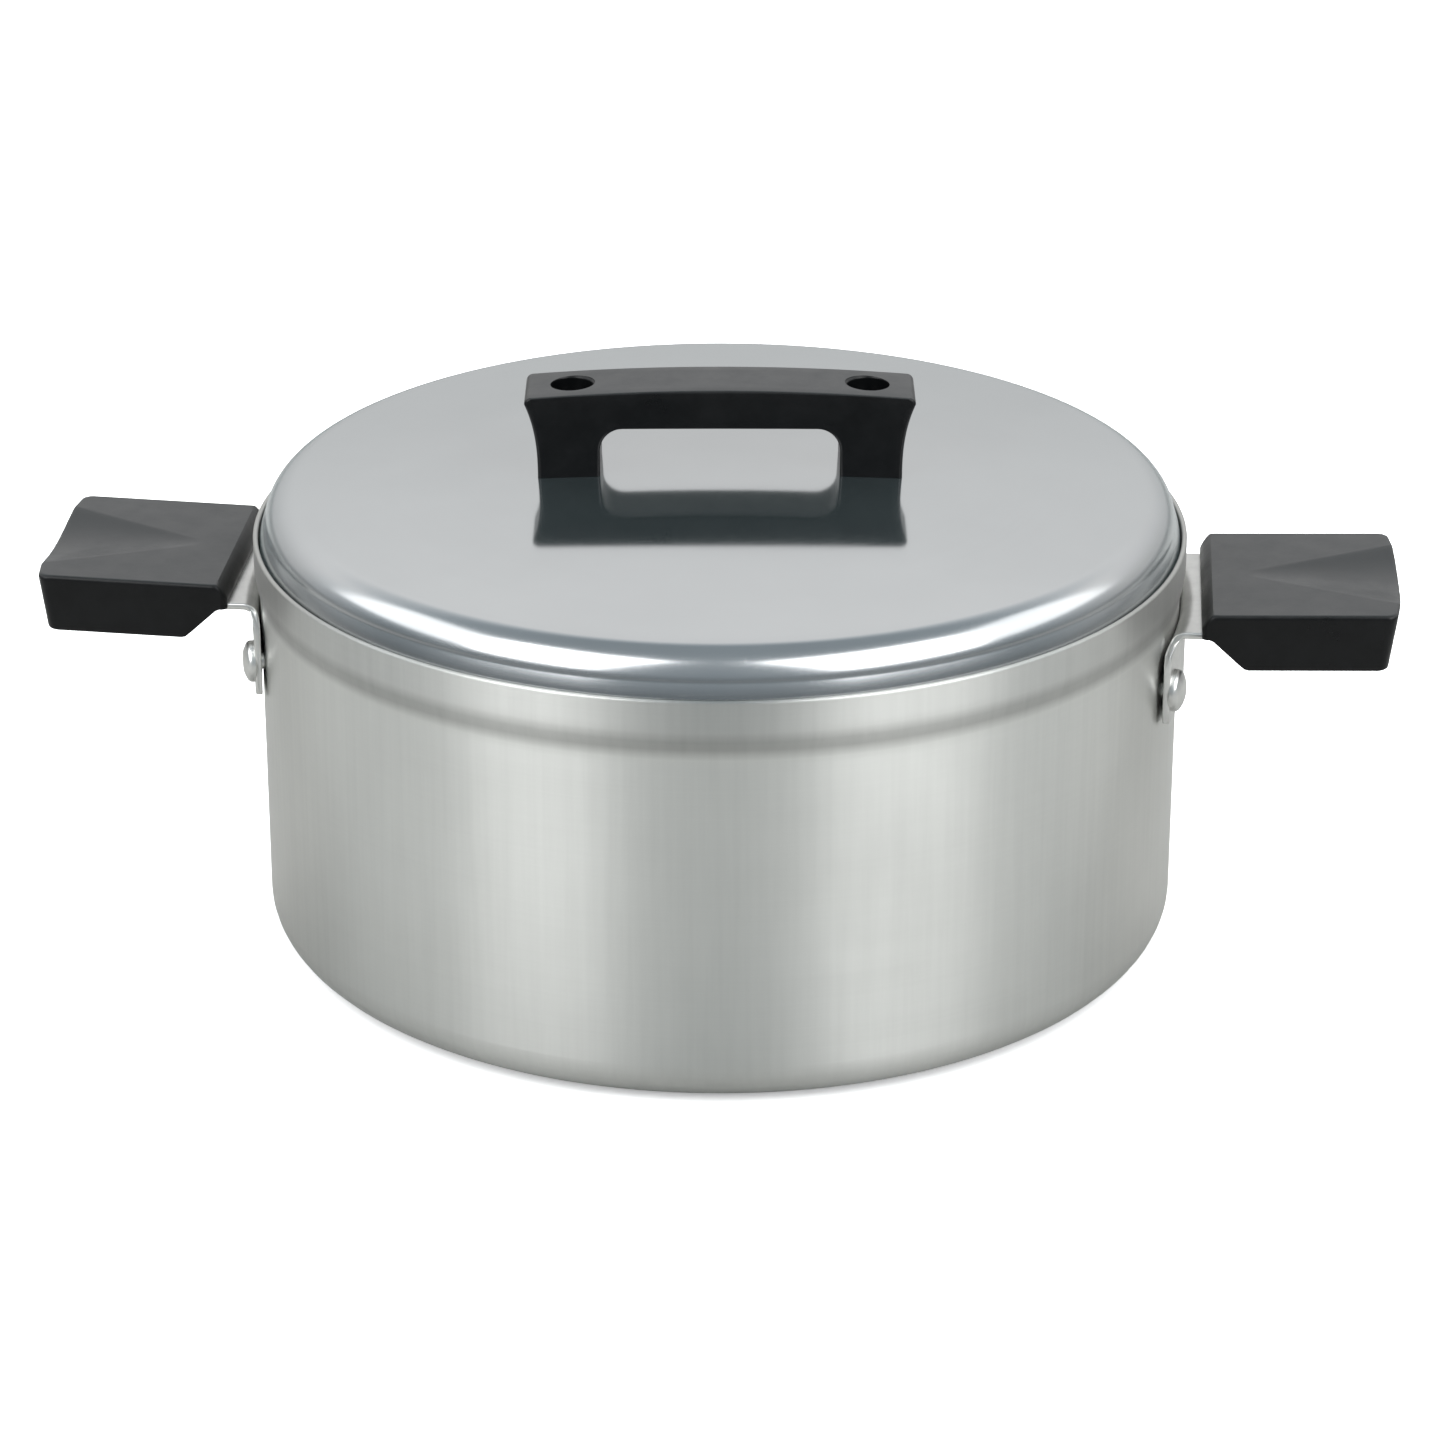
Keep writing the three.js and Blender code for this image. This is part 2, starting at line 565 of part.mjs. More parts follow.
function lidWasher(x) {
  const low = WASHER_TOP_Z - WASHER_T;
  const disc = uprightBar(WASHER_R, low, WASHER_TOP_Z, x, SMALL_STEPS);
  return disc.subtract(uprightBar(M4_HOLE_R, low - 1, WASHER_TOP_Z + 1, x, SMALL_STEPS));
}

function lidNut(x) {
  const high = WASHER_TOP_Z - WASHER_T - GAP;
  const low = high - NUT_T;
  const hexagon = uprightBar(NUT_R, low, high, x, 6);
  return hexagon.subtract(uprightBar(M4_HOLE_R, low - 1, high + 1, x, SMALL_STEPS));
}

function lid() {
  const turned = (solid) => solid.rotate([0, 0, LID_TURN]);
  const group = new THREE.Group();
  group.add(toMesh("lid_shell", turned(lidShell()), polishedAluminium));
  group.add(toMesh("lid_handle", turned(lidHandle()), blackResin));
  for (const [side, x] of [["left", -SCREW_X], ["right", SCREW_X]]) {
    group.add(toMesh(`lid_handle_screw_${side}`, turned(lidScrew(x)), blackenedSteel));
    group.add(toMesh(`lid_handle_washer_${side}`, turned(lidWasher(x)), platedSteel));
    group.add(toMesh(`lid_handle_nut_${side}`, turned(lidNut(x)), platedSteel));
  }
  return group;
}

// ---- Assembly --------------------------------------------------------------------------------

const casserole = new THREE.Group();
casserole.add(potShell());
casserole.add(sideHandle("left"));
casserole.add(sideHandle("right"));
casserole.add(lid());

export default casserole;
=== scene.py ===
"""Looks for a two-handled aluminium casserole with a loose domed lid.

Every surface is worked out with numpy, +Z up, origin at the centre of the base. The lengths of the
pieces are millimetres until MM scales them to the frame's metres. The lengths of the camera, the
lamps, the floor and the materials are metres.
"""

import math

import bpy
import numpy as np
from mathutils import Matrix, Vector


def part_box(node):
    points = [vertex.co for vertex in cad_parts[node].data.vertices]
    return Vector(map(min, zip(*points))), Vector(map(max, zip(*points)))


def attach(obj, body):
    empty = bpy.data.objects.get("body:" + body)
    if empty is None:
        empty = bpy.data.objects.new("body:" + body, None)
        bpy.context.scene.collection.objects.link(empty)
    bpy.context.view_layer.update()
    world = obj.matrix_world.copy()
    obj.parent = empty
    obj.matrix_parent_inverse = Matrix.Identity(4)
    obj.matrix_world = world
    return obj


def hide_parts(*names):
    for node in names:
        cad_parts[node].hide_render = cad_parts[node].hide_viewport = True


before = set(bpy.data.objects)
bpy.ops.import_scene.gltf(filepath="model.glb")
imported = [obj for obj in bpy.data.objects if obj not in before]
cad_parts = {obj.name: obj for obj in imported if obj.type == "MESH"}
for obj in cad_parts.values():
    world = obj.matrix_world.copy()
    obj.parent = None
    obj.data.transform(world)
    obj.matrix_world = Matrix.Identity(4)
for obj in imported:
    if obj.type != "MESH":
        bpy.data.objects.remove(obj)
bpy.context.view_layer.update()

MM = 0.001


def node_box(node):
    """Lowest and highest corner of a frame node, in millimetres."""
    low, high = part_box(node)
    return np.array(low) / MM, np.array(high) / MM


# ---- Sizes, from the frame where it holds them ----

POT_HIGH = node_box("pot_shell")[1]
LID_LOW, LID_HIGH = node_box("lid_shell")
HANDLE_HIGH = node_box("lid_handle")[1]
BRACKET_LOW, BRACKET_HIGH = node_box("handle_bracket_right")
GRIP_HIGH = node_box("side_grip_right")[1]

# Seated faces stand this far off what they rest on, so that no two faces coincide.
SEAT_GAP = 0.02

# Pot.
BAND_R = POT_HIGH[0]
RIM_Z = POT_HIGH[2]
POT_R = BAND_R - 1.2
WALL_T = 1.3
BAND_T = 1.2
BASE_T = 2.0
BASE_CORNER_R = 10.0
STEP_LOW_Z = RIM_Z - 13.7
STEP_HIGH_Z = RIM_Z - 8.3
STEP_BEND_R = 16.0
RIM_EDGE_R = 0.55
LEDGE_Z = LID_LOW[2] - 0.3
LEDGE_FALL = 0.4
LEDGE_CORNER_R = 0.2
LEDGE_BEND_R = 0.5

# Lid.
LID_R = LID_HIGH[0]
LID_T = 1.1
DOME_Z = LID_HIGH[2]
SHOULDER_R = 8.0
SHOULDER_Z = DOME_Z - 5.0
SKIRT_LEAN = math.radians(9)
SKIRT_FLARE_SHARE = 0.7
SKIRT_EASE = 1.3
SKIRT_UPRIGHT_Z = RIM_Z - 1
SKIRT_END_Z = LID_LOW[2] + 0.5
LID_TURN = math.radians(4.7)

# Lid handle, with the counterbores of its two screws.
HANDLE_TOP_HALF = 46.0
HANDLE_WAIST_HALF = 43.0
HANDLE_DEPTH = 18.5
HANDLE_ARCH = 1.8
HANDLE_TOP_Z = HANDLE_HIGH[2] - HANDLE_ARCH
HANDLE_CORNER_R = 1.6
HANDLE_EDGE_R = 0.8
HANDLE_FLARE_POWER = 2.6
WINDOW_HALF = 28.25
WINDOW_TOP_Z = HANDLE_TOP_Z - 7.7
WINDOW_CORNER_R = 5.5
SCREW_X = 35.0
COUNTERBORE_R = 5.0
COUNTERBORE_Z = HANDLE_TOP_Z - 4.9
BORE_DRAFT = 0.1
BORE_CORNER_R = 0.4
BORE_LIP_DROP = 0.45
BORE_LIP_W = 0.5
BORE_CLEAR = 3.0

# Brackets.
FLANGE_R = 110.1
FLANGE_FLATTEN = 22.0
FLANGE_HALF_W = BRACKET_HIGH[1]
FLANGE_LOW_Z = BRACKET_LOW[2]
FLANGE_CORNER_R = 2.0
PLATE_T = 1.6
PLATE_EDGE_R = 0.5
PLATE_SIDE_R = 0.45
BEND_R = 2.0
NARROW_Z = FLANGE_LOW_Z + 17.0
TONGUE_TOP_Z = FLANGE_LOW_Z + 21.5
TONGUE_HALF_W = 26.0
TONGUE_END_R = 138.0
TONGUE_RISE_R = 118.0
TONGUE_TAPER_R = 121.0
TONGUE_TAPER_RUN = 6
TONGUE_TAPER = 5

# Rivets.
RIVET_TURN = math.radians(14)
RIVET_Z = FLANGE_LOW_Z + 7.5
RIVET_SEAT_R = 112.2
RIVET_SHANK_R = 2.0
RIVET_HEAD_R = 5.0
RIVET_HEAD_H = 2.7
RIVET_TAIL_R = 4.2
RIVET_TAIL_FLAT_R = 3.6
RIVET_TAIL_H = 1.9

# Side grips, with the scoop for the thumb and the recess of the screw.
GRIP_TILT = math.radians(1.8)
GRIP_INNER_X = 115.0
GRIP_CORNER_X = GRIP_INNER_X + 45.3
GRIP_OUTER_X = GRIP_INNER_X + 47.4
GRIP_END_LEAN = 2.5
GRIP_HALF_W = GRIP_HIGH[1]
GRIP_TOP_Z = TONGUE_TOP_Z + 4.9
GRIP_LOW_Z = GRIP_TOP_Z - 13.9
GRIP_TOP_EDGE_R = 1.0
GRIP_LOW_EDGE_R = 0.8
GRIP_INNER_CORNER_R = 1.5
GRIP_OUTER_CORNER_R = 2.6
GRIP_BOW_R = 12
GRIP_SLOPE_X = GRIP_INNER_X + 10.3
GRIP_SLOPE_Z = TONGUE_TOP_Z - 1.1
GRIP_SLOPE_SOFT = 0.25
GRIP_LEVEL_RUN = 2.2
GRIP_NOSE_RUN = 2.6
GRIP_NOSE_DROP = 3.0
GRIP_NOSE_POWER = 1.25
GRIP_FADE_H = 3
SCOOP_START_X = GRIP_INNER_X + 11.0
SCOOP_START_HALF_W = 1.4
SCOOP_HALF_W = 20.0
SCOOP_DEPTH = 2.6
SCOOP_SIDE_POWER = 1.25
SCOOP_GROW_POWER = 1.1
RING_INSET = 12.0
GRIP_SCREW_X = GRIP_INNER_X + 15.0
RECESS_TOP_R = 4.5
RECESS_LOW_R = 4.6
RECESS_MOUTH_R = 5.0
RECESS_DEPTH = 2.2
RECESS_EDGE_R = 0.3

# Screws, washers and nuts. The shares are of the head's radius or height.
SCREW_HEAD_R = 4.0
SCREW_SHANK_R = 2.0
LID_SCREW_HEAD_H = 2.2
LID_SCREW_END_Z = 107.2
GRIP_SCREW_HEAD_H = 1.9
GRIP_SCREW_L = 8.0
GRIP_SCREW_SEAT = 2.15
CROWN_H_SHARE = 0.35
CROWN_R_SHARE = 0.55
CROSS_REACH_SHARE = 0.52
CROSS_DEPTH_SHARE = 0.55
CROSS_W = 0.95
CROSS_TAPER = 0.62
WASHER_R = 5.0
WASHER_HOLE_R = 2.15
WASHER_LOW_Z = 112.3
WASHER_HIGH_Z = 113.3
NUT_FLATS = 7.0
NUT_HOLE_R = 2.05
NUT_H = 3.2
NUT_LOW_Z = 109.0

# ---- Camera ----

CAMERA_AZIMUTH = math.radians(4.7)
CAMERA_ELEVATION = math.radians(23.18)
CAMERA_DISTANCE = 1.1577
CAMERA_AIM = Vector((0.0, 0.0, 0.050))
CAMERA_LENS = 119.06
CAMERA_SHIFT_Y = -0.0042


def make_camera():
    """Looks down at the pot from the front, turned so that the right grip comes slightly nearer."""
    back = Vector((
        math.sin(CAMERA_AZIMUTH) * math.cos(CAMERA_ELEVATION),
        -math.cos(CAMERA_AZIMUTH) * math.cos(CAMERA_ELEVATION),
        math.sin(CAMERA_ELEVATION),
    ))
    data = bpy.data.cameras.new("camera")
    data.lens = CAMERA_LENS
    data.sensor_width = 36.0
    data.shift_y = CAMERA_SHIFT_Y
    data.clip_start = 0.05
    data.clip_end = 20.0
    camera = bpy.data.objects.new("camera", data)
    bpy.context.scene.collection.objects.link(camera)
    camera.rotation_mode = "QUATERNION"
    camera.location = CAMERA_AIM + back * CAMERA_DISTANCE
    camera.rotation_quaternion = (-back).to_track_quat("-Z", "Y")
    bpy.context.scene.camera = camera


# ---- Surfaces ----

# Points round a shell, and the angle in degrees past which a cut piece shows an edge.
SHELL_STEPS = 256
CUT_SMOOTH_ANGLE = 30

# Distance of a straight run's first point from its end; a run shorter than TINY gets none. A
# corner that turns by less than about STRAIGHT, in radians, is left as it is.
ARC_MARGIN = 0.25
TINY = 1e-6
STRAIGHT = 1e-4


def rounded_path(corners, step=2.0, turn_step=10.0, closed=False):
    """A path of straight runs joined by arcs.

    Each corner is (x, y, radius). An arc of that radius, tangent to both neighbours, replaces the
    corner, with a point at least every turn_step degrees. The straight runs get a point at least
    every step, and one ARC_MARGIN from each end, or a quarter of the run if that is less.
    """
    spots = [np.array(c[:2], float) for c in corners]
    count = len(spots)
    path = []
    for i, (spot, corner) in enumerate(zip(spots, corners)):
        ends = not closed and i in (0, count - 1)
        radius = corner[2] if len(corner) > 2 else 0.0
        if ends or radius <= 0:
            path.append([spot])
            continue
        before, after = spots[i - 1] - spot, spots[(i + 1) % count] - spot
        before, after = before / np.linalg.norm(before), after / np.linalg.norm(after)
        half = math.acos(np.clip(before @ after, -1, 1)) / 2
        if math.pi / 2 - half < STRAIGHT:
            path.append([spot])
            continue
        reach = radius / math.tan(half)
        middle = before + after
        centre = spot + middle / np.linalg.norm(middle) * radius / math.sin(half)
        first, last = spot + before * reach - centre, spot + after * reach - centre
        sweep = math.pi - 2 * half
        if first[0] * last[1] - first[1] * last[0] < 0:
            sweep = -sweep
        steps = max(2, math.ceil(abs(math.degrees(sweep)) / turn_step))
        turns = math.atan2(first[1], first[0]) + np.linspace(0, sweep, steps + 1)
        path.append([centre + radius * np.array([math.cos(t), math.sin(t)]) for t in turns])
    points = list(path[0])
    runs = list(zip(path, path[1:])) + ([(path[-1], path[0])] if closed else [])
    for here, there in runs:
        a, b = here[-1], there[0]
        length = np.linalg.norm(b - a)
        if length > TINY:
            inset = min(ARC_MARGIN, length / 4)
            pieces = max(1, math.ceil((length - 2 * inset) / step))
            shares = np.linspace(inset, length - inset, pieces + 1) / length
            points += [a + (b - a) * share for share in shares]
        points += list(there)
    if closed:
        points = points[: -len(path[0])]
    return np.array(points)


def mesh_piece(name, points, faces, smooth_angle=40):
    """Makes one closed mesh of points (millimetres) and faces, faces outward, smooth up to smooth_angle."""
    mesh = bpy.data.meshes.new(name)
    mesh.from_pydata(np.asarray(points, float) * MM, [], faces)
    mesh.validate()
    piece = bpy.data.objects.new(name, mesh)
    bpy.context.scene.collection.objects.link(piece)
    face_outward(mesh)
    mesh.polygons.foreach_set("use_smooth", np.ones(len(mesh.polygons), bool))
    mesh.set_sharp_from_angle(angle=math.radians(smooth_angle))
    return piece


def face_outward(mesh):
    """Turns the mesh inside out if its signed volume is negative."""
    mesh.calc_loop_triangles()
    count = len(mesh.loop_triangles)
    index = np.empty(count * 3, np.int32)
    mesh.loop_triangles.foreach_get("vertices", index)
    spots = np.empty(len(mesh.vertices) * 3, np.float32)
    mesh.vertices.foreach_get("co", spots)
    a, b, c = np.moveaxis(spots.reshape(-1, 3)[index.reshape(-1, 3)].astype(float), 1, 0)
    if np.einsum("ij,ij->i", a, np.cross(b, c)).sum() < 0:
        mesh.flip_normals()


def grid_faces(rows, columns, rows_closed=False):
    """Quads between neighbouring points of a rows by columns grid whose columns close round."""
    i = np.arange(rows if rows_closed else rows - 1)[:, None]
    j = np.arange(columns)[None, :]
    i2, j2 = (i + 1) % rows, (j + 1) % columns
    quads = np.stack([i * columns + j, i * columns + j2, i2 * columns + j2, i2 * columns + j], -1)
    return quads.reshape(-1, 4).tolist()


def capped_faces(rows, columns):
    """Quads of a run of closed sections, with its two ends capped."""
    ends = [list(range(columns))[::-1], list(range((rows - 1) * columns, rows * columns))]
    return grid_faces(rows, columns) + ends


def poled_faces(rows, columns):
    """Quads of a run of rings, and triangles to the two poles that follow them in the points."""
    around = np.arange(columns)
    after = (around + 1) % columns
    last, pole = (rows - 1) * columns, rows * columns
    first_fan = np.stack([np.full(columns, pole), after, around], -1)
    last_fan = np.stack([np.full(columns, pole + 1), last + around, last + after], -1)
    return grid_faces(rows, columns) + first_fan.tolist() + last_fan.tolist()


def placed(points, place):
    """Points moved by a 4 by 4 matrix."""
    place = np.array(place)
    return points @ place[:3, :3].T + place[:3, 3]


def spun_points(profile, steps):
    """Surface of revolution: (radius, height) at turn a lies at (radius cos a, radius sin a, height)."""
    turns = np.linspace(0, 2 * math.pi, steps, endpoint=False)
    r, z = profile[:, 0][:, None], profile[:, 1][:, None]
    x, y = r * np.cos(turns), r * np.sin(turns)
    return np.stack([x, y, np.broadcast_to(z, x.shape)], -1).reshape(-1, 3)


def spun_piece(name, profile, steps, closed=False, move=None):
    """A spun profile. An open one starts and ends on the axis, where it closes in two poles."""
    if closed:
        points = spun_points(profile, steps)
        faces = grid_faces(len(profile), steps, rows_closed=True)
    else:
        poles = [[0, 0, profile[0][1]], [0, 0, profile[-1][1]]]
        points = np.concatenate([spun_points(profile[1:-1], steps), poles])
        faces = poled_faces(len(profile) - 2, steps)
    move = np.eye(4) if move is None else move
    return mesh_piece(name, placed(points, move), faces)


def shift(x, y, z):
    """Moves by x, y and z."""
    return np.array(Matrix.Translation((x, y, z)))


def turn_z(angle):
    """Turns about the upright axis."""
    return np.array(Matrix.Rotation(angle, 4, "Z"))


def turn_y(angle):
    """Turns about the front to back axis."""
    return np.array(Matrix.Rotation(angle, 4, "Y"))


def dome_radius():
    """Radius of the sphere that rises by rise over reach: (reach^2 + rise^2) / (2 rise)."""
    rise, reach = DOME_Z - SHOULDER_Z, LID_R - SHOULDER_R
    return (reach ** 2 + rise ** 2) / (2 * rise)


def dome_z(distance):
    """Height of the lid's upper surface at a distance from its middle: a sphere of dome_radius."""
    return DOME_Z - dome_radius() + np.sqrt(dome_radius() ** 2 - distance ** 2)


def cut(piece, cutter):
    """Takes the cutter's shape out of the piece."""
    tool = piece.modifiers.new("cut", "BOOLEAN")
    tool.object = cutter
    tool.operation = "DIFFERENCE"
    tool.solver = "EXACT"
    graph = bpy.context.evaluated_depsgraph_get()
    made = bpy.data.meshes.new_from_object(piece.evaluated_get(graph))
    piece.modifiers.clear()
    old, piece.data = piece.data, made
    bpy.data.meshes.remove(old)
    bpy.data.objects.remove(cutter)
    made.polygons.foreach_set("use_smooth", np.ones(len(made.polygons), bool))
    made.set_sharp_from_angle(angle=math.radians(CUT_SMOOTH_ANGLE))


# ---- Pieces ----


def make_pot():
    """Base, corner, wall, soft step, band and rounded rim, then back down the inside over the ledge."""
    band_in = BAND_R - BAND_T
    wall_in = POT_R - WALL_T
    profile = rounded_path([
        (0, 0),
        (POT_R, 0, BASE_CORNER_R),
        (POT_R, STEP_LOW_Z, STEP_BEND_R),
        (BAND_R, STEP_HIGH_Z, STEP_BEND_R),
        (BAND_R, RIM_Z, RIM_EDGE_R),
        (band_in, RIM_Z, RIM_EDGE_R),
        (band_in, LEDGE_Z, LEDGE_CORNER_R),
        (wall_in, LEDGE_Z - LEDGE_FALL, LEDGE_BEND_R),
        (wall_in, BASE_T, BASE_CORNER_R - BASE_T),
        (0, BASE_T),
    ])
    return spun_piece("pot_body", profile, SHELL_STEPS)


def lid_outline(offset):
    """Half section of the lid at an inward offset.

    A dome arc runs out from the axis and a shoulder arc tangent to it turns down to SKIRT_LEAN
    from upright. The skirt leans out as far as SKIRT_UPRIGHT_Z, just below the pot's rim, and then
    stands upright inside the band.
    """
    radius = dome_radius()
    flare = (SHOULDER_Z - RIM_Z) * math.tan(SKIRT_LEAN) * SKIRT_FLARE_SHARE
    bend_r = LID_R - SHOULDER_R - flare
    lean = math.asin(bend_r / (radius - SHOULDER_R))
    bend_z = DOME_Z - radius + (radius - SHOULDER_R) * math.cos(lean)
    turn = np.linspace(0, lean, 60)
    arc_r = (radius - offset) * np.sin(turn)
    arc_z = DOME_Z - radius + (radius - offset) * np.cos(turn)
    turn = np.linspace(lean, math.pi / 2 - SKIRT_LEAN, 28)[1:]
    shoulder_r = bend_r + (SHOULDER_R - offset) * np.sin(turn)
    shoulder_z = bend_z + (SHOULDER_R - offset) * np.cos(turn)
    drop = np.linspace(0, 1, 16)[1:]
    skirt_r = shoulder_r[-1] + (LID_R - offset - shoulder_r[-1]) * (1 - (1 - drop) ** SKIRT_EASE)
    skirt_z = shoulder_z[-1] + (SKIRT_UPRIGHT_Z - shoulder_z[-1]) * drop
    hidden_z = np.linspace(SKIRT_UPRIGHT_Z, SKIRT_END_Z, 6)[1:]
    hidden_r = np.full(len(hidden_z), LID_R - offset)
    r = np.concatenate([arc_r, shoulder_r, skirt_r, hidden_r])
    z = np.concatenate([arc_z, shoulder_z, skirt_z, hidden_z])
    return np.stack([r, z], -1)


def make_lid():
    """Outer section down to the skirt, a rounded lower edge, then the inner section back to the axis."""
    half = LID_T / 2
    turn = np.linspace(0, math.pi, 9)[1:-1]
    edge_r = LID_R - half + half * np.cos(turn)
    edge_z = LID_LOW[2] + half - half * np.sin(turn)
    edge = np.stack([edge_r, edge_z], -1)
    profile = np.concatenate([lid_outline(0), edge, lid_outline(LID_T)[::-1]])
    return spun_piece("lid_dome", profile, SHELL_STEPS)


def make_lid_handle():
    """A bridge: rounded rectangle sections carried along an arch.

    Outer and inner outlines share one parameter: up a leg, round its corner and over to the
    middle, then the same mirrored. The flared end leaves the foot upright and leans out ever more
    towards the top, x = waist + (top - waist) * rise ^ HANDLE_FLARE_POWER. The top is a parabola
    HANDLE_ARCH high. Each section runs from the outer outline to the inner one and is as deep as
    the handle, with its four edges rounded.
    """
    waist, top, window = HANDLE_WAIST_HALF, HANDLE_TOP_HALF, WINDOW_HALF
    corner_r = HANDLE_CORNER_R
    foot = dome_z(waist) + SEAT_GAP
    rise = np.linspace(0, 1, 22)
    end_x = waist + (top - waist) * rise ** HANDLE_FLARE_POWER
    end_z = foot + (HANDLE_TOP_Z - corner_r - foot) * rise
    leg_z = dome_z(window) + SEAT_GAP + (WINDOW_TOP_Z - WINDOW_CORNER_R - dome_z(window)) * rise
    outer = [np.stack([end_x, end_z], -1)]
    inner = [np.stack([np.full(len(rise), window), leg_z], -1)]
    turn = np.linspace(0, math.pi / 2, 10)[1:]
    outer.append(np.stack([
        top - corner_r + corner_r * np.cos(turn),
        HANDLE_TOP_Z - corner_r + corner_r * np.sin(turn),
    ], -1))
    inner.append(np.stack([
        window - WINDOW_CORNER_R + WINDOW_CORNER_R * np.cos(turn),
        WINDOW_TOP_Z - WINDOW_CORNER_R + WINDOW_CORNER_R * np.sin(turn),
    ], -1))
    across = np.linspace(1, 0, 30)[1:]
    top_x = (top - corner_r) * across
    top_z = HANDLE_TOP_Z + HANDLE_ARCH * (1 - (top_x / (top - corner_r)) ** 2)
    outer.append(np.stack([top_x, top_z], -1))
    inner.append(np.stack([(window - WINDOW_CORNER_R) * across, np.full(len(across), WINDOW_TOP_Z)], -1))
    outer, inner = np.concatenate(outer), np.concatenate(inner)
    mirror = np.array([-1, 1])
    outer = np.concatenate([outer, outer[:-1][::-1] * mirror])
    inner = np.concatenate([inner, inner[:-1][::-1] * mirror])

    edge = HANDLE_EDGE_R
    half = HANDLE_DEPTH / 2
    bend = np.linspace(0, math.pi / 2, 5)
    flat = np.linspace(0, 1, 7)[1:-1]
    leaving, arriving = edge * (1 - np.cos(bend)), edge * (1 - np.sin(bend))
    crossing = edge * (1 - 2 * flat)
    deepening = (2 * half - 2 * edge) * flat
    zero, one = np.zeros(len(flat)), np.ones(len(flat))
    # Round a section: (fixed, share, depth). A point lies fixed + share * length from the outer
    # outline, at the y position depth.
    section = [
        (leaving, zero, -half + arriving),
        (crossing, flat, -half + zero),
        (-arriving, one, -half + leaving),
        (zero, one, -half + edge + deepening),
        (-leaving, one, half - arriving),
        (-crossing, 1 - flat, half + zero),
        (arriving, zero, half - leaving),
        (zero, zero, half - edge - deepening),
    ]
    fixed, share, depth = (np.concatenate(column) for column in zip(*section))
    along = inner - outer
    length = np.linalg.norm(along, axis=1)[:, None]
    along = along / length
    distance = fixed[None, :] + share[None, :] * length
    x = outer[:, 0][:, None] + along[:, 0][:, None] * distance
    z = outer[:, 1][:, None] + along[:, 1][:, None] * distance
    y = np.broadcast_to(depth[None, :], x.shape)
    points = np.stack([x, y, z], -1).reshape(-1, 3)
    piece = mesh_piece("lid_bridge_handle", placed(points, turn_z(LID_TURN)), capped_faces(*x.shape), 32)
    for side in (-1, 1):
        mouth_z = HANDLE_TOP_Z + HANDLE_ARCH * (1 - (SCREW_X / top) ** 2)
        bore = rounded_path([
            (0, COUNTERBORE_Z),
            (COUNTERBORE_R - BORE_DRAFT, COUNTERBORE_Z, BORE_CORNER_R),
            (COUNTERBORE_R, mouth_z - BORE_LIP_DROP, BORE_LIP_W),
            (COUNTERBORE_R + BORE_LIP_W, mouth_z + BORE_DRAFT, BORE_CORNER_R),
            (COUNTERBORE_R + BORE_LIP_W + BORE_DRAFT, mouth_z + BORE_CLEAR),
            (0, mouth_z + BORE_CLEAR),
        ], step=3, turn_step=15)
        place = turn_z(LID_TURN) @ shift(side * SCREW_X, 0, 0)
        cut(piece, spun_piece("bore", bore, 64, move=place))
    return piece


def cross_cutter(depth, place):
    """A cross of two tapered blades, for the recess in a screw head."""
    arm, half = SCREW_HEAD_R * CROSS_REACH_SHARE, CROSS_W / 2
    plan = np.array([
        (arm, -half), (arm, half), (half, half), (half, arm), (-half, arm), (-half, half),
        (-arm, half), (-arm, -half), (-half, -half), (-half, -arm), (half, -arm), (half, -half),
    ])
    count = len(plan)
    levels = [(CROSS_TAPER, -depth), (1.0, 0.0), (1.0, 1.0)]
    points = np.concatenate([np.column_stack([plan * s, np.full(count, z)]) for s, z in levels])
    return mesh_piece("cross", placed(points, place), capped_faces(len(levels), count))


def make_screw(name, head_h, shank_l, place):
    """Pan head with a domed top and cross recess, over a plain shank. Drawn head up, its seat at z 0."""
    tip_edge, neck_edge, seat_edge, side_edge, crown_edge = 0.4, 0.1, 0.2, 0.9, 3.0
    crown = CROWN_H_SHARE * head_h
    profile = rounded_path([
        (0, -shank_l),
        (SCREW_SHANK_R, -shank_l, tip_edge),
        (SCREW_SHANK_R, 0, neck_edge),
        (SCREW_HEAD_R, 0, seat_edge),
        (SCREW_HEAD_R, head_h - crown, side_edge),
        (SCREW_HEAD_R * CROWN_R_SHARE, head_h, crown_edge),
        (0, head_h),
    ], step=1.5, turn_step=12)
    screw = spun_piece(name, profile, 48, move=place)
    cut(screw, cross_cutter(head_h * CROSS_DEPTH_SHARE, place @ shift(0, 0, head_h)))
    return screw


def make_washer(name, place):
    """Flat ring with rounded edges."""
    hole_edge, rim_edge = 0.15, 0.3
    ring = rounded_path([
        (WASHER_HOLE_R, WASHER_LOW_Z, hole_edge),
        (WASHER_R, WASHER_LOW_Z, rim_edge),
        (WASHER_R, WASHER_HIGH_Z, rim_edge),
        (WASHER_HOLE_R, WASHER_HIGH_Z, hole_edge),
    ], step=1.0, turn_step=22, closed=True)
    return spun_piece(name, ring, 64, closed=True, move=place)


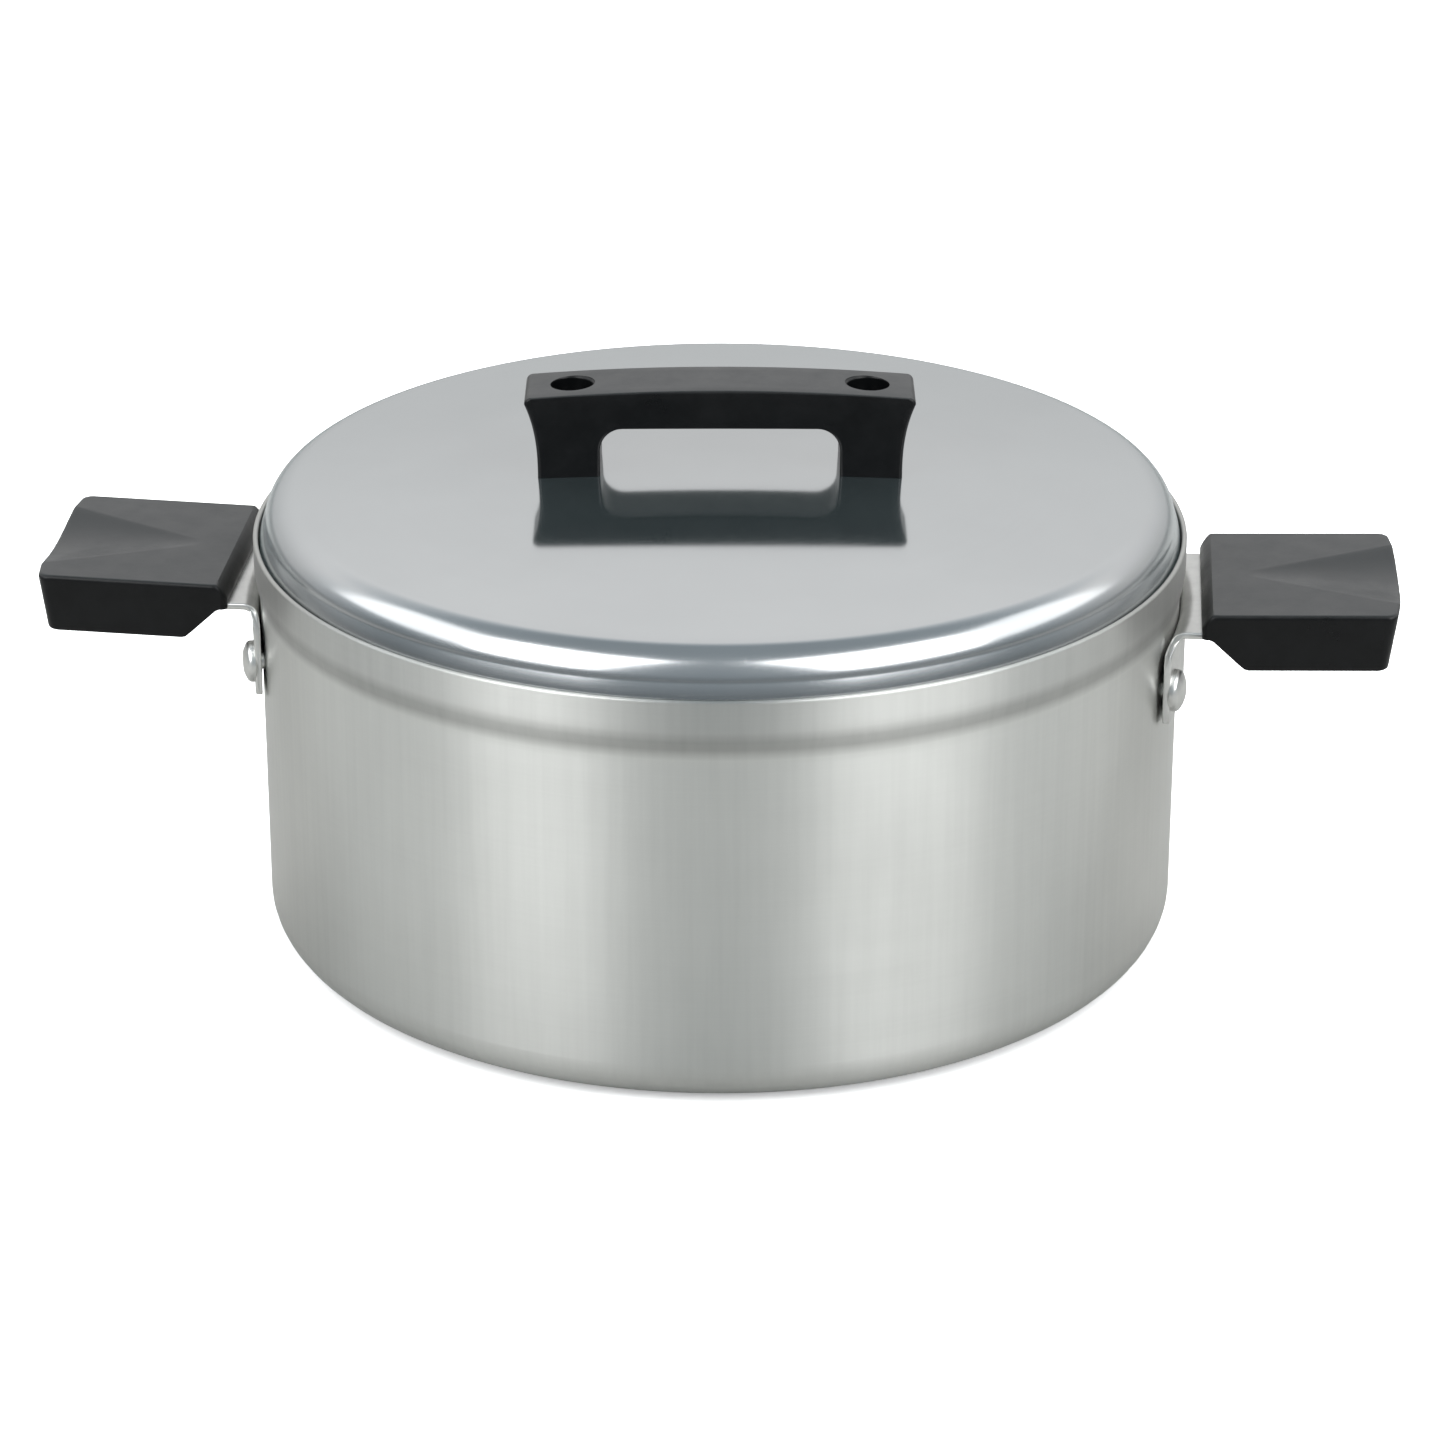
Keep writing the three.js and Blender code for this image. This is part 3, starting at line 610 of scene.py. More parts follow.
def make_nut(name, place):
    """Hexagon nut. Its outside radius at turn a is the smaller of the hexagon's and of two chamfer cones'."""
    steps = 96
    chamfer, waist, cone_start, cone_slope, bevel = 0.7, 0.9, 0.98, 1.75, 0.35
    turns = np.linspace(0, 2 * math.pi, steps, endpoint=False)
    hexagon = NUT_FLATS / 2 / np.cos((turns + math.pi / 6) % (math.pi / 3) - math.pi / 6)
    levels = np.concatenate([
        np.linspace(0, chamfer, 6),
        np.linspace(waist, NUT_H - waist, 4),
        np.linspace(NUT_H - chamfer, NUT_H, 6),
    ])
    cone = NUT_FLATS / 2 * cone_start + cone_slope * np.minimum(levels, NUT_H - levels)
    radius = np.minimum(hexagon[None, :], cone[:, None])
    inner = NUT_HOLE_R + np.array([bevel, 0.0, 0.0, bevel])[:, None] + 0 * turns[None, :]
    inner_z = np.array([NUT_H, NUT_H - bevel, bevel, 0.0])
    radius = np.concatenate([radius, inner])
    z = np.concatenate([levels, inner_z])[:, None] + 0 * turns[None, :]
    points = np.stack([radius * np.cos(turns), radius * np.sin(turns), z], -1).reshape(-1, 3)
    return mesh_piece(name, placed(points, place), grid_faces(len(radius), steps, rows_closed=True), 25)


def bracket_section(inset):
    """Closed section of flange, bend and tongue in (radius, height), shrunk by inset."""
    out_r = FLANGE_R + PLATE_T - inset
    in_r = FLANGE_R + inset
    low = FLANGE_LOW_Z + inset
    top = TONGUE_TOP_Z - inset
    under = TONGUE_TOP_Z - PLATE_T + inset
    end = TONGUE_END_R - inset
    edge = PLATE_EDGE_R - inset * 0.6
    return rounded_path([
        (in_r, low, edge), (out_r, low, edge), (out_r, under, BEND_R + inset), (end, under, edge),
        (end, top, edge), (in_r, top, BEND_R + PLATE_T - inset),
    ], step=2.0, turn_step=11, closed=True)


def make_bracket(name, side_turn):
    """Flange, bend and tongue, each section point carried along an arc flatter than the wall.

    A section point (r, z) at share s of the half width lies at y = s * half,
    x = sqrt((r + f)^2 - y^2) - f, where f is FLANGE_FLATTEN, so the flange meets the wall in the
    middle and stands off it at its upright edges. The half width is the flange's below NARROW_Z
    and eases down to the tongue's at the bend; it also rounds the flange's lower corners and
    tapers the tongue. Past TONGUE_RISE_R the tongue rises with the grip.
    """
    bends = np.linspace(0, math.pi / 2, 5)
    insets = PLATE_SIDE_R * (1 - np.sin(bends))
    outs = PLATE_SIDE_R * (1 - np.cos(bends))
    middle = np.linspace(-1, 1, 25)[1:-1]
    rows = [(-1, o, i) for o, i in zip(outs, insets)] + [(m, 0, 0) for m in middle]
    rows += [(1, o, i) for o, i in zip(outs[::-1], insets[::-1])]
    points = []
    for share, out, inset in rows:
        section = bracket_section(inset)
        r, z = section[:, 0], section[:, 1]
        ease = np.clip((z - NARROW_Z) / (TONGUE_TOP_Z - PLATE_T - NARROW_Z), 0, 1)
        ease = ease * ease * (3 - 2 * ease)
        half = FLANGE_HALF_W + (TONGUE_HALF_W - FLANGE_HALF_W) * ease
        corner = np.clip(1 - (z - FLANGE_LOW_Z) / FLANGE_CORNER_R, 0, 1)
        half = half - FLANGE_CORNER_R * (1 - np.sqrt(1 - corner ** 2))
        half = half - np.clip((r - TONGUE_TAPER_R) / TONGUE_TAPER_RUN, 0, 1) * TONGUE_TAPER
        y = share * half - np.sign(share) * out * (abs(share) == 1)
        x = np.sqrt((r + FLANGE_FLATTEN) ** 2 - y ** 2) - FLANGE_FLATTEN
        z = z + np.tan(GRIP_TILT) * np.clip(r - TONGUE_RISE_R, 0, None)
        points.append(np.stack([x, y, z], -1))
    faces = capped_faces(len(rows), len(points[0]))
    return mesh_piece(name, placed(np.concatenate(points), turn_z(side_turn)), faces, 35)


def make_rivet(name, turn):
    """Low head out, spread tail in. Drawn along +Z, its seat at z 0, then laid along the radius."""
    wall = RIVET_SEAT_R - (POT_R - WALL_T)
    sunk = 0.15
    tail_edge, rim_edge, side_edge, crown_edge = 1.2, 0.3, 1.3, 4.0
    profile = rounded_path([
        (0, -wall - RIVET_TAIL_H),
        (RIVET_TAIL_FLAT_R, -wall - RIVET_TAIL_H, tail_edge),
        (RIVET_TAIL_R, -wall + sunk, rim_edge),
        (RIVET_SHANK_R, -wall + sunk),
        (RIVET_SHANK_R, -0.4),
        (RIVET_HEAD_R, -sunk, sunk),
        (RIVET_HEAD_R, RIVET_HEAD_H * 0.55, side_edge),
        (RIVET_HEAD_R * 0.5, RIVET_HEAD_H, crown_edge),
        (0, RIVET_HEAD_H),
    ], step=1.2, turn_step=10)
    place = turn_z(turn) @ shift(RIVET_SEAT_R, 0, RIVET_Z) @ turn_y(math.pi / 2)
    return spun_piece(name, profile, 64, move=place)


def grip_outline():
    """Plan of a grip as a closed path: straight sides, rounded outer corners, bowed end, square inner end.

    The end bows out by a parabola, x = corner + (outer - corner) * (1 - t^2) at share t of the half width.
    """
    half = GRIP_HALF_W
    bow = []
    for t in np.linspace(-1, 1, 9)[1:-1]:
        bow.append((GRIP_CORNER_X + (GRIP_OUTER_X - GRIP_CORNER_X) * (1 - t * t), t * (half - 1), GRIP_BOW_R))
    return rounded_path([
        (GRIP_INNER_X, half, GRIP_INNER_CORNER_R),
        (GRIP_INNER_X, -half, GRIP_INNER_CORNER_R),
        (GRIP_CORNER_X, -half, GRIP_OUTER_CORNER_R),
        *bow,
        (GRIP_CORNER_X, half, GRIP_OUTER_CORNER_R),
    ], step=0.9, turn_step=7, closed=True)


def scoop_depth(x, y):
    """A shallow hollow in the top. Outwards its width grows evenly, its depth slightly faster."""
    grow = np.clip((x - SCOOP_START_X) / (GRIP_OUTER_X - SCOOP_START_X), 0, None)
    half = SCOOP_START_HALF_W + grow * (SCOOP_HALF_W - SCOOP_START_HALF_W)
    across = np.clip(1 - (y / half) ** 2, 0, 1) ** SCOOP_SIDE_POWER
    return grow ** SCOOP_GROW_POWER * SCOOP_DEPTH * across


def make_grip(name, side_turn):
    """Rings of the plan outline, drawn in towards the middle over the top and the underside.

    A ring at inset d lies on the outline scaled about its middle so that it moves in by d; past
    RING_INSET the rings shrink evenly to the middle. The top and lower edges round over. The thumb
    scoop lowers the top, fading out down the sides. The underside rises along a slope and the top
    falls over a rounded nose next to the pot. The outer end leans in towards the underside.
    """
    low, top = GRIP_LOW_Z, GRIP_TOP_Z
    top_edge, low_edge = GRIP_TOP_EDGE_R, GRIP_LOW_EDGE_R
    first_ring = 0.4
    outline = grip_outline()
    centre = np.array([(GRIP_INNER_X + GRIP_OUTER_X) / 2, 0.0])
    reach = outline - centre
    size = np.array([(GRIP_OUTER_X - GRIP_INNER_X) / 2, GRIP_HALF_W])
    bend = np.linspace(0, math.pi / 2, 8)
    rows = [(RING_INSET, low, s) for s in np.linspace(0.05, 1, 20)[:-1]]
    rows += [(d, low, 1) for d in np.linspace(RING_INSET, low_edge + first_ring, 20)]
    rows += [(low_edge * (1 - math.sin(b)), low + low_edge * (1 - math.cos(b)), 1) for b in bend]
    rows += [(0, z, 1) for z in np.linspace(low + low_edge, top - top_edge, 12)[1:-1]]
    rows += [(top_edge * (1 - math.cos(b)), top - top_edge * (1 - math.sin(b)), 1) for b in bend]
    rows += [(d, top, 1) for d in np.linspace(top_edge + first_ring, RING_INSET, 28)]
    rows += [(RING_INSET, top, s) for s in np.linspace(1, 0.02, 30)[1:]]
    inset, height, shrink = np.array(rows).T[:, :, None]
    z = height + 0 * reach[:, 0]
    plan = centre + reach * (1 - inset[:, :, None] / size) * shrink[:, :, None]
    points = np.concatenate([plan.reshape(-1, 2), [centre, centre]])
    z = np.concatenate([z.ravel(), [low, top]])
    x, y = points[:, 0], points[:, 1]
    share = np.clip((z - low - GRIP_FADE_H) / (top - low - GRIP_FADE_H), 0, 1)
    z = z - scoop_depth(x, y) * share
    nose = np.clip(1 - (x - GRIP_INNER_X) / GRIP_NOSE_RUN, 0, 1)
    z = z - GRIP_NOSE_DROP * nose ** GRIP_NOSE_POWER * share
    slope = np.clip((GRIP_SLOPE_X - x) / (GRIP_SLOPE_X - GRIP_INNER_X - GRIP_LEVEL_RUN), None, 1)
    floor = low + (GRIP_SLOPE_Z - low) * slope
    # The higher of the two heights, with the crease between them softened.
    z = (z + floor + np.sqrt((z - floor) ** 2 + GRIP_SLOPE_SOFT ** 2)) / 2
    along = np.clip((x - GRIP_SCREW_X) / (GRIP_OUTER_X - GRIP_SCREW_X), 0, 1)
    x = x - GRIP_END_LEAN * along * np.clip((top - z) / (top - low), 0, 1)
    points = np.stack([x, y, z], -1)
    place = turn_z(side_turn) @ grip_tilt()
    piece = mesh_piece(name, placed(points, place), poled_faces(len(rows), len(outline)), 50)
    recess = rounded_path([
        (0, RECESS_DEPTH),
        (RECESS_TOP_R, RECESS_DEPTH, RECESS_EDGE_R),
        (RECESS_LOW_R, 0.0, RECESS_EDGE_R),
        (RECESS_MOUTH_R, -0.5),
        (RECESS_MOUTH_R, -BORE_CLEAR),
        (0, -BORE_CLEAR),
    ], step=3, turn_step=15)
    cut(piece, spun_piece("recess", recess, 48, move=place @ shift(GRIP_SCREW_X, 0, low)))
    return piece


def grip_tilt():
    """Raises the grip's outer end about its inner end at the tongue."""
    return shift(GRIP_INNER_X, 0, TONGUE_TOP_Z) @ turn_y(-GRIP_TILT) @ shift(-GRIP_INNER_X, 0, -TONGUE_TOP_Z)


# ---- Materials ----

# Bumps are metres deep at strength 1; scratches are scored into the turning lines as a share of them.
METAL_BUMP = 0.00003
RESIN_BUMP = 0.00005
SCRATCH_DEPTH = 0.4
SCRATCH_ROUGHNESS = 0.06
PALM_POLISH = -0.06
# Paler colour for the resin's upward faces: a painted highlight, standing in for the light the tops catch.
PAINTED_TOP_LIGHT_COLOUR = (0.019, 0.0202, 0.0208)


def group_socket(group, name, kind, into, default=None):
    made = group.interface.new_socket(name=name, in_out="INPUT" if into else "OUTPUT", socket_type=kind)
    if default is not None:
        made.default_value = default


def feed(tree, place, value):
    """Links a socket to an input, or sets the input to a plain value."""
    if isinstance(value, bpy.types.NodeSocket):
        tree.links.new(value, place)
    else:
        place.default_value = value


def set_inputs(node, **values):
    """Sets a node's inputs; an underscore stands for a space."""
    for name, value in values.items():
        node.inputs[name.replace("_", " ")].default_value = value


def maths(tree, operation, *values):
    """One Math node; each value is a number or a socket."""
    node = tree.nodes.new("ShaderNodeMath")
    node.operation = operation
    for place, value in zip(node.inputs, values):
        feed(tree, place, value)
    return node.outputs[0]


def times(tree, first, second):
    return maths(tree, "MULTIPLY", first, second)


def noise(tree, vector, scale, detail=2.0, roughness=0.5):
    node = tree.nodes.new("ShaderNodeTexNoise")
    tree.links.new(vector, node.inputs["Vector"])
    feed(tree, node.inputs["Scale"], scale)
    set_inputs(node, Detail=detail, Roughness=roughness)
    return node.outputs["Fac"]


def spread(tree, value, low, high, to_low=0.0, to_high=1.0):
    """Maps value from low..high to to_low..to_high, held at the ends."""
    node = tree.nodes.new("ShaderNodeMapRange")
    names = ("Value", "From Min", "From Max", "To Min", "To Max")
    for name, number in zip(names, (value, low, high, to_low, to_high)):
        feed(tree, node.inputs[name], number)
    return node.outputs["Result"]


def lathe_lines_group():
    """Marks of spinning and polishing round an upright axis.

    Lines change fast with radius and height and slowly round the axis. Streaks change fast round
    the axis and slowly with height. Patches are broad clouds. Radius and Height are metres from
    the axis and the base.
    """
    line_waver, patch_scale = 0.9, 22.0
    streaks_across, streaks_up = 420.0, 14.0
    tree = bpy.data.node_groups.new("lathe_lines", "ShaderNodeTree")
    group_socket(tree, "Lines per metre", "NodeSocketFloat", True, 900.0)
    group_socket(tree, "Unevenness", "NodeSocketFloat", True, 0.5)
    for name in ("Lines", "Streaks", "Patches", "Radius", "Height"):
        group_socket(tree, name, "NodeSocketFloat", False)
    nodes, links = tree.nodes, tree.links
    given, out = nodes.new("NodeGroupInput"), nodes.new("NodeGroupOutput")
    spot = nodes.new("ShaderNodeTexCoord")
    axes = nodes.new("ShaderNodeSeparateXYZ")
    links.new(spot.outputs["Object"], axes.inputs[0])
    x, y, z = axes.outputs
    x_squared = times(tree, x, x)
    y_squared = times(tree, y, y)
    r = maths(tree, "SQRT", maths(tree, "ADD", x_squared, y_squared))
    turn = maths(tree, "ARCTAN2", y, x)
    both = times(tree, maths(tree, "SUBTRACT", z, r), given.outputs[0])
    lines_at = nodes.new("ShaderNodeCombineXYZ")
    links.new(both, lines_at.inputs[0])
    for place, operation in ((1, "SINE"), (2, "COSINE")):
        waver = times(tree, maths(tree, operation, turn), line_waver)
        links.new(waver, lines_at.inputs[place])
    fine = noise(tree, lines_at.outputs[0], 1.0, 4.0, 0.65)
    patches = noise(tree, spot.outputs["Object"], patch_scale, 3.0, 0.55)
    uneven = times(tree, maths(tree, "SUBTRACT", patches, 0.5), given.outputs[1])
    links.new(maths(tree, "ADD", fine, uneven), out.inputs[0])
    streaks_at = nodes.new("ShaderNodeCombineXYZ")
    for place, (axis, scale) in enumerate(((x, streaks_across), (y, streaks_across), (z, streaks_up))):
        links.new(times(tree, axis, scale), streaks_at.inputs[place])
    links.new(noise(tree, streaks_at.outputs[0], 1.0, 3.0, 0.6), out.inputs[1])
    links.new(patches, out.inputs[2])
    links.new(r, out.inputs[3])
    links.new(z, out.inputs[4])
    return tree


def handling_wear_group():
    """Faint smudges and short scratches from handling, as two masks from 0 to 1.

    Scratches are the thin lines where a stretched noise passes its middle, kept only where a
    second, slower noise is high.
    """
    smudge_range = (0.48, 0.72)
    scratch_turn, scratch_stretch = (0.4, 0.9, 0.7), (1.0, 26.0, 26.0)
    scratch_scale, scratch_half_width = 38.0, 0.012
    few_scale, few_range = 60.0, (0.6, 0.68)
    tree = bpy.data.node_groups.new("handling_wear", "ShaderNodeTree")
    group_socket(tree, "Smudge size", "NodeSocketFloat", True, 30.0)
    group_socket(tree, "Smudges", "NodeSocketFloat", False)
    group_socket(tree, "Scratches", "NodeSocketFloat", False)
    nodes, links = tree.nodes, tree.links
    given, out = nodes.new("NodeGroupInput"), nodes.new("NodeGroupOutput")
    spot = nodes.new("ShaderNodeTexCoord").outputs["Object"]
    cloud = noise(tree, spot, given.outputs[0], 4.0)
    links.new(spread(tree, cloud, *smudge_range), out.inputs[0])
    bent = nodes.new("ShaderNodeMapping")
    set_inputs(bent, Rotation=scratch_turn, Scale=scratch_stretch)
    links.new(spot, bent.inputs["Vector"])
    streak = noise(tree, bent.outputs[0], scratch_scale, 1.0, 0.4)
    thin = maths(tree, "ABSOLUTE", maths(tree, "SUBTRACT", streak, 0.5))
    thin = spread(tree, thin, 0.0, scratch_half_width, 1.0, 0.0)
    few = noise(tree, spot, few_scale, 1.0, 0.5)
    few = spread(tree, few, *few_range)
    links.new(times(tree, thin, few), out.inputs[1])
    return tree


def moulding_grain_group():
    """Fine satin grain of moulded resin and a slow mottling of its gloss."""
    tree = bpy.data.node_groups.new("moulding_grain", "ShaderNodeTree")
    group_socket(tree, "Grain per metre", "NodeSocketFloat", True, 2600.0)
    group_socket(tree, "Grain", "NodeSocketFloat", False)
    group_socket(tree, "Mottle", "NodeSocketFloat", False)
    nodes, links = tree.nodes, tree.links
    given, out = nodes.new("NodeGroupInput"), nodes.new("NodeGroupOutput")
    spot = nodes.new("ShaderNodeTexCoord").outputs["Object"]
    links.new(noise(tree, spot, given.outputs[0]), out.inputs[0])
    links.new(noise(tree, spot, 140.0, 3.0, 0.6), out.inputs[1])
    return tree


def new_material(name):
    material = bpy.data.materials.new(name)
    material.use_nodes = True
    tree = material.node_tree
    return material, tree, tree.nodes["Principled BSDF"]


def use_group(nodes, group, **values):
    node = nodes.new("ShaderNodeGroup")
    node.node_tree = group
    set_inputs(node, **values)
    return node


def blend_colours(tree, amount, first, second):
    """Mixes two colours; each is a colour or a socket."""
    node = tree.nodes.new("ShaderNodeMix")
    node.data_type = "RGBA"
    tree.links.new(amount, node.inputs["Factor"])
    for place, value in ((6, first), (7, second)):
        if isinstance(value, bpy.types.NodeSocket):
            tree.links.new(value, node.inputs[place])
        else:
            node.inputs[place].default_value = (*value, 1.0)
    return node.outputs[2]


def bump(tree, height, strength, distance, shader):
    node = tree.nodes.new("ShaderNodeBump")
    set_inputs(node, Strength=strength, Distance=distance)
    tree.links.new(height, node.inputs["Height"])
    tree.links.new(node.outputs[0], shader.inputs["Normal"])


def spun_metal(name, colour, look):
    """Aluminium turned on a lathe: grooves stretch highlights up and down, handling dulls it in patches.

    look holds the radii in metres where the finish changes and the roughness inside and outside
    them, the heights in metres of a band of painted shade (colour darkened where the step and the
    lid's lower edge fall into shadow), how much of it stays above them and how dark it is, the
    strength of the tone's lines, streaks and patches, the roughness of the grain and of smudges, the
    grooves' pull, spacing and depth, and a faint cool haze.
    """
    material, tree, shader = new_material(name)
    nodes, links = tree.nodes, tree.links
    set_inputs(
        shader, Metallic=1.0, Anisotropic=look["pull"], Anisotropic_Rotation=0.25,
        Sheen_Weight=look["haze"], Sheen_Roughness=0.5, Sheen_Tint=(0.7, 0.95, 1.0, 1.0),
    )
    tangent = nodes.new("ShaderNodeTangent")
    tangent.direction_type = "RADIAL"
    tangent.axis = "Z"
    links.new(tangent.outputs[0], shader.inputs["Tangent"])
    turned = use_group(nodes, GROUPS["lines"], Lines_per_metre=look["lines_per_metre"], Unevenness=0.3)
    wear = use_group(nodes, GROUPS["wear"], Smudge_size=26.0)
    # Painted shade: the colour darkens between these heights and fades above them, standing in for the shadow
    # at the pot's step and band and along the lid's lower edge.
    low, full_low, full_high, high = look["painted_shade_heights"]
    painted_shade = spread(tree, turned.outputs["Height"], low, full_low)
    shade_kept_above = spread(tree, turned.outputs["Height"], full_high, high, 1.0, look["painted_shade_above"])
    painted_shade = times(tree, painted_shade, shade_kept_above)
    tone = maths(tree, "MULTIPLY_ADD", painted_shade, -look["painted_shade"], 1.0)
    for output in ("Lines", "Streaks", "Patches"):
        strength = look[output.lower()]
        change = spread(tree, turned.outputs[output], 0.25, 0.75, -strength, strength)
        tone = maths(tree, "ADD", tone, change)
    tinted = nodes.new("ShaderNodeVectorMath")
    tinted.operation = "SCALE"
    tinted.inputs[0].default_value = colour
    links.new(tone, tinted.inputs["Scale"])
    links.new(tinted.outputs[0], shader.inputs["Base Color"])
    base = spread(tree, turned.outputs["Radius"], *look["finish_radius"], *look["roughness"])
    grain = spread(tree, turned.outputs["Lines"], 0.25, 0.75, -look["grain"], look["grain"])
    extra = times(tree, wear.outputs["Smudges"], look["smudges"])
    scratched = times(tree, wear.outputs["Scratches"], SCRATCH_ROUGHNESS)
    total = maths(tree, "ADD", maths(tree, "ADD", base, extra), scratched)
    links.new(maths(tree, "ADD", total, grain), shader.inputs["Roughness"])
    scored = times(tree, wear.outputs["Scratches"], SCRATCH_DEPTH)
    height = maths(tree, "SUBTRACT", turned.outputs["Lines"], scored)
    bump(tree, height, look["depth"], METAL_BUMP, shader)
    return material


def plain_metal(name, colour, low, high):
    """Pressed, drawn or plated metal with no turning marks: patchy gloss, fine pits and a few scratches.

    The roughness wanders between low and high.
    """
    material, tree, shader = new_material(name)
    nodes, links = tree.nodes, tree.links
    shader.inputs["Metallic"].default_value = 1.0
    wear = use_group(nodes, GROUPS["wear"], Smudge_size=90.0)
    grain = use_group(nodes, GROUPS["grain"], Grain_per_metre=1500.0)
    dull = tuple(0.8 * c for c in colour)
    mottle = spread(tree, grain.outputs["Mottle"], 0.3, 0.7)
    links.new(blend_colours(tree, mottle, dull, colour), shader.inputs["Base Color"])
    rough = spread(tree, grain.outputs["Mottle"], 0.25, 0.75, low, high)
    scratched = times(tree, wear.outputs["Scratches"], 2 * SCRATCH_ROUGHNESS)
    links.new(maths(tree, "ADD", rough, scratched), shader.inputs["Roughness"])
    bump(tree, grain.outputs["Grain"], 0.25, METAL_BUMP, shader)
    return material


def moulded_resin(name, colour, low, high):
    """Black phenolic resin: satin skin, fine grain, mottled gloss, palm smudges, and a painted highlight
    paling upward faces.

    The roughness wanders between low and high, and palms rub it smoother.
    """
    material, tree, shader = new_material(name)
    nodes, links = tree.nodes, tree.links
    set_inputs(shader, IOR=1.6, Specular_Tint=(0.3, 0.3, 0.3, 1.0))
    grain = use_group(nodes, GROUPS["grain"], Grain_per_metre=2400.0)
    wear = use_group(nodes, GROUPS["wear"], Smudge_size=60.0)
    pale = tuple(1.6 * c for c in colour)
    mottle = spread(tree, grain.outputs["Mottle"], 0.35, 0.7)
    skin = blend_colours(tree, mottle, colour, pale)
    # Painted highlight: faces that point up are blended towards a paler colour, so the tops read lighter as
    # if lit.
    facing = nodes.new("ShaderNodeSeparateXYZ")
    links.new(nodes.new("ShaderNodeTexCoord").outputs["Normal"], facing.inputs[0])
    painted_top_light = spread(tree, facing.outputs[2], 0.55, 0.98)
    uneven = spread(tree, grain.outputs["Mottle"], 0.3, 0.7, 0.8, 1.0)
    painted_top_light = times(tree, painted_top_light, uneven)
    links.new(blend_colours(tree, painted_top_light, skin, PAINTED_TOP_LIGHT_COLOUR), shader.inputs["Base Color"])
    rough = spread(tree, grain.outputs["Mottle"], 0.3, 0.7, low, high)
    rubbed = times(tree, wear.outputs["Smudges"], PALM_POLISH)
    links.new(maths(tree, "ADD", rough, rubbed), shader.inputs["Roughness"])
    bump(tree, grain.outputs["Grain"], 0.22, RESIN_BUMP, shader)
    return material


# ---- Stage and light ----

LAMP_AIM = Vector((0, 0, 0.05))

# Name, azimuth and elevation in degrees, distance, width and height in metres, power in watts, and
# whether the metal mirrors the lamp.
SOFTBOXES = (
    ("left_softbox", -41, 40, 1.3, 0.74, 1.05, 12.3, True),
    ("right_softbox", 51, 40, 1.3, 0.88, 1.05, 13.6, True),
    ("left_side_softbox", -82, 38, 1.3, 0.9, 0.8, 3.5, True),
    ("right_side_softbox", 95, 38, 1.3, 0.9, 0.8, 3, True),
    ("rear_overhead_softbox", 180, 60, 1.5, 1.4, 0.8, 28, False),
)


def make_floor():
    """A wide pale sheet. Metal mirrors it darker than the camera sees it, as it would a grey table top."""
    size = 6.0
    corners = [(-size, -size, 0), (size, -size, 0), (size, size, 0), (-size, size, 0)]
    mesh = bpy.data.meshes.new("floor")
    mesh.from_pydata(corners, [], [(0, 1, 2, 3)])
    floor = bpy.data.objects.new("floor", mesh)
    floor.location.z = -0.0003
    bpy.context.scene.collection.objects.link(floor)
    material, tree, shader = new_material("floor")
    nodes, links = tree.nodes, tree.links
    set_inputs(
        shader, Base_Color=(0.9, 0.9, 0.9, 1), Roughness=0.9, Specular_IOR_Level=0.0,
        Emission_Color=(1, 1, 1, 1), Emission_Strength=0.35,
    )
    mirrored = nodes.new("ShaderNodeBsdfDiffuse")
    mirrored.inputs["Color"].default_value = (0.292, 0.292, 0.284, 1)
    seen = nodes.new("ShaderNodeLightPath")
    mix = nodes.new("ShaderNodeMixShader")
    links.new(seen.outputs["Is Glossy Ray"], mix.inputs[0])
    links.new(shader.outputs[0], mix.inputs[1])
    links.new(mirrored.outputs[0], mix.inputs[2])
    links.new(mix.outputs[0], nodes["Material Output"].inputs["Surface"])
    mesh.materials.append(material)


def make_softbox(name, azimuth, elevation, distance, width, height, power, mirrored):
    """A rectangular lamp facing the pot. Azimuth 0 is in front."""
    a, e = math.radians(azimuth), math.radians(elevation)
    back = Vector((math.sin(a) * math.cos(e), -math.cos(a) * math.cos(e), math.sin(e)))
    data = bpy.data.lights.new(name, "AREA")
    data.shape = "RECTANGLE"
    data.size, data.size_y = width, height
    data.energy = power
    lamp = bpy.data.objects.new(name, data)
    bpy.context.scene.collection.objects.link(lamp)
    lamp.location = LAMP_AIM + back * distance
    lamp.rotation_mode = "QUATERNION"
    lamp.rotation_quaternion = (-back).to_track_quat("-Z", "Y")
    lamp.visible_camera = False
    lamp.visible_glossy = mirrored


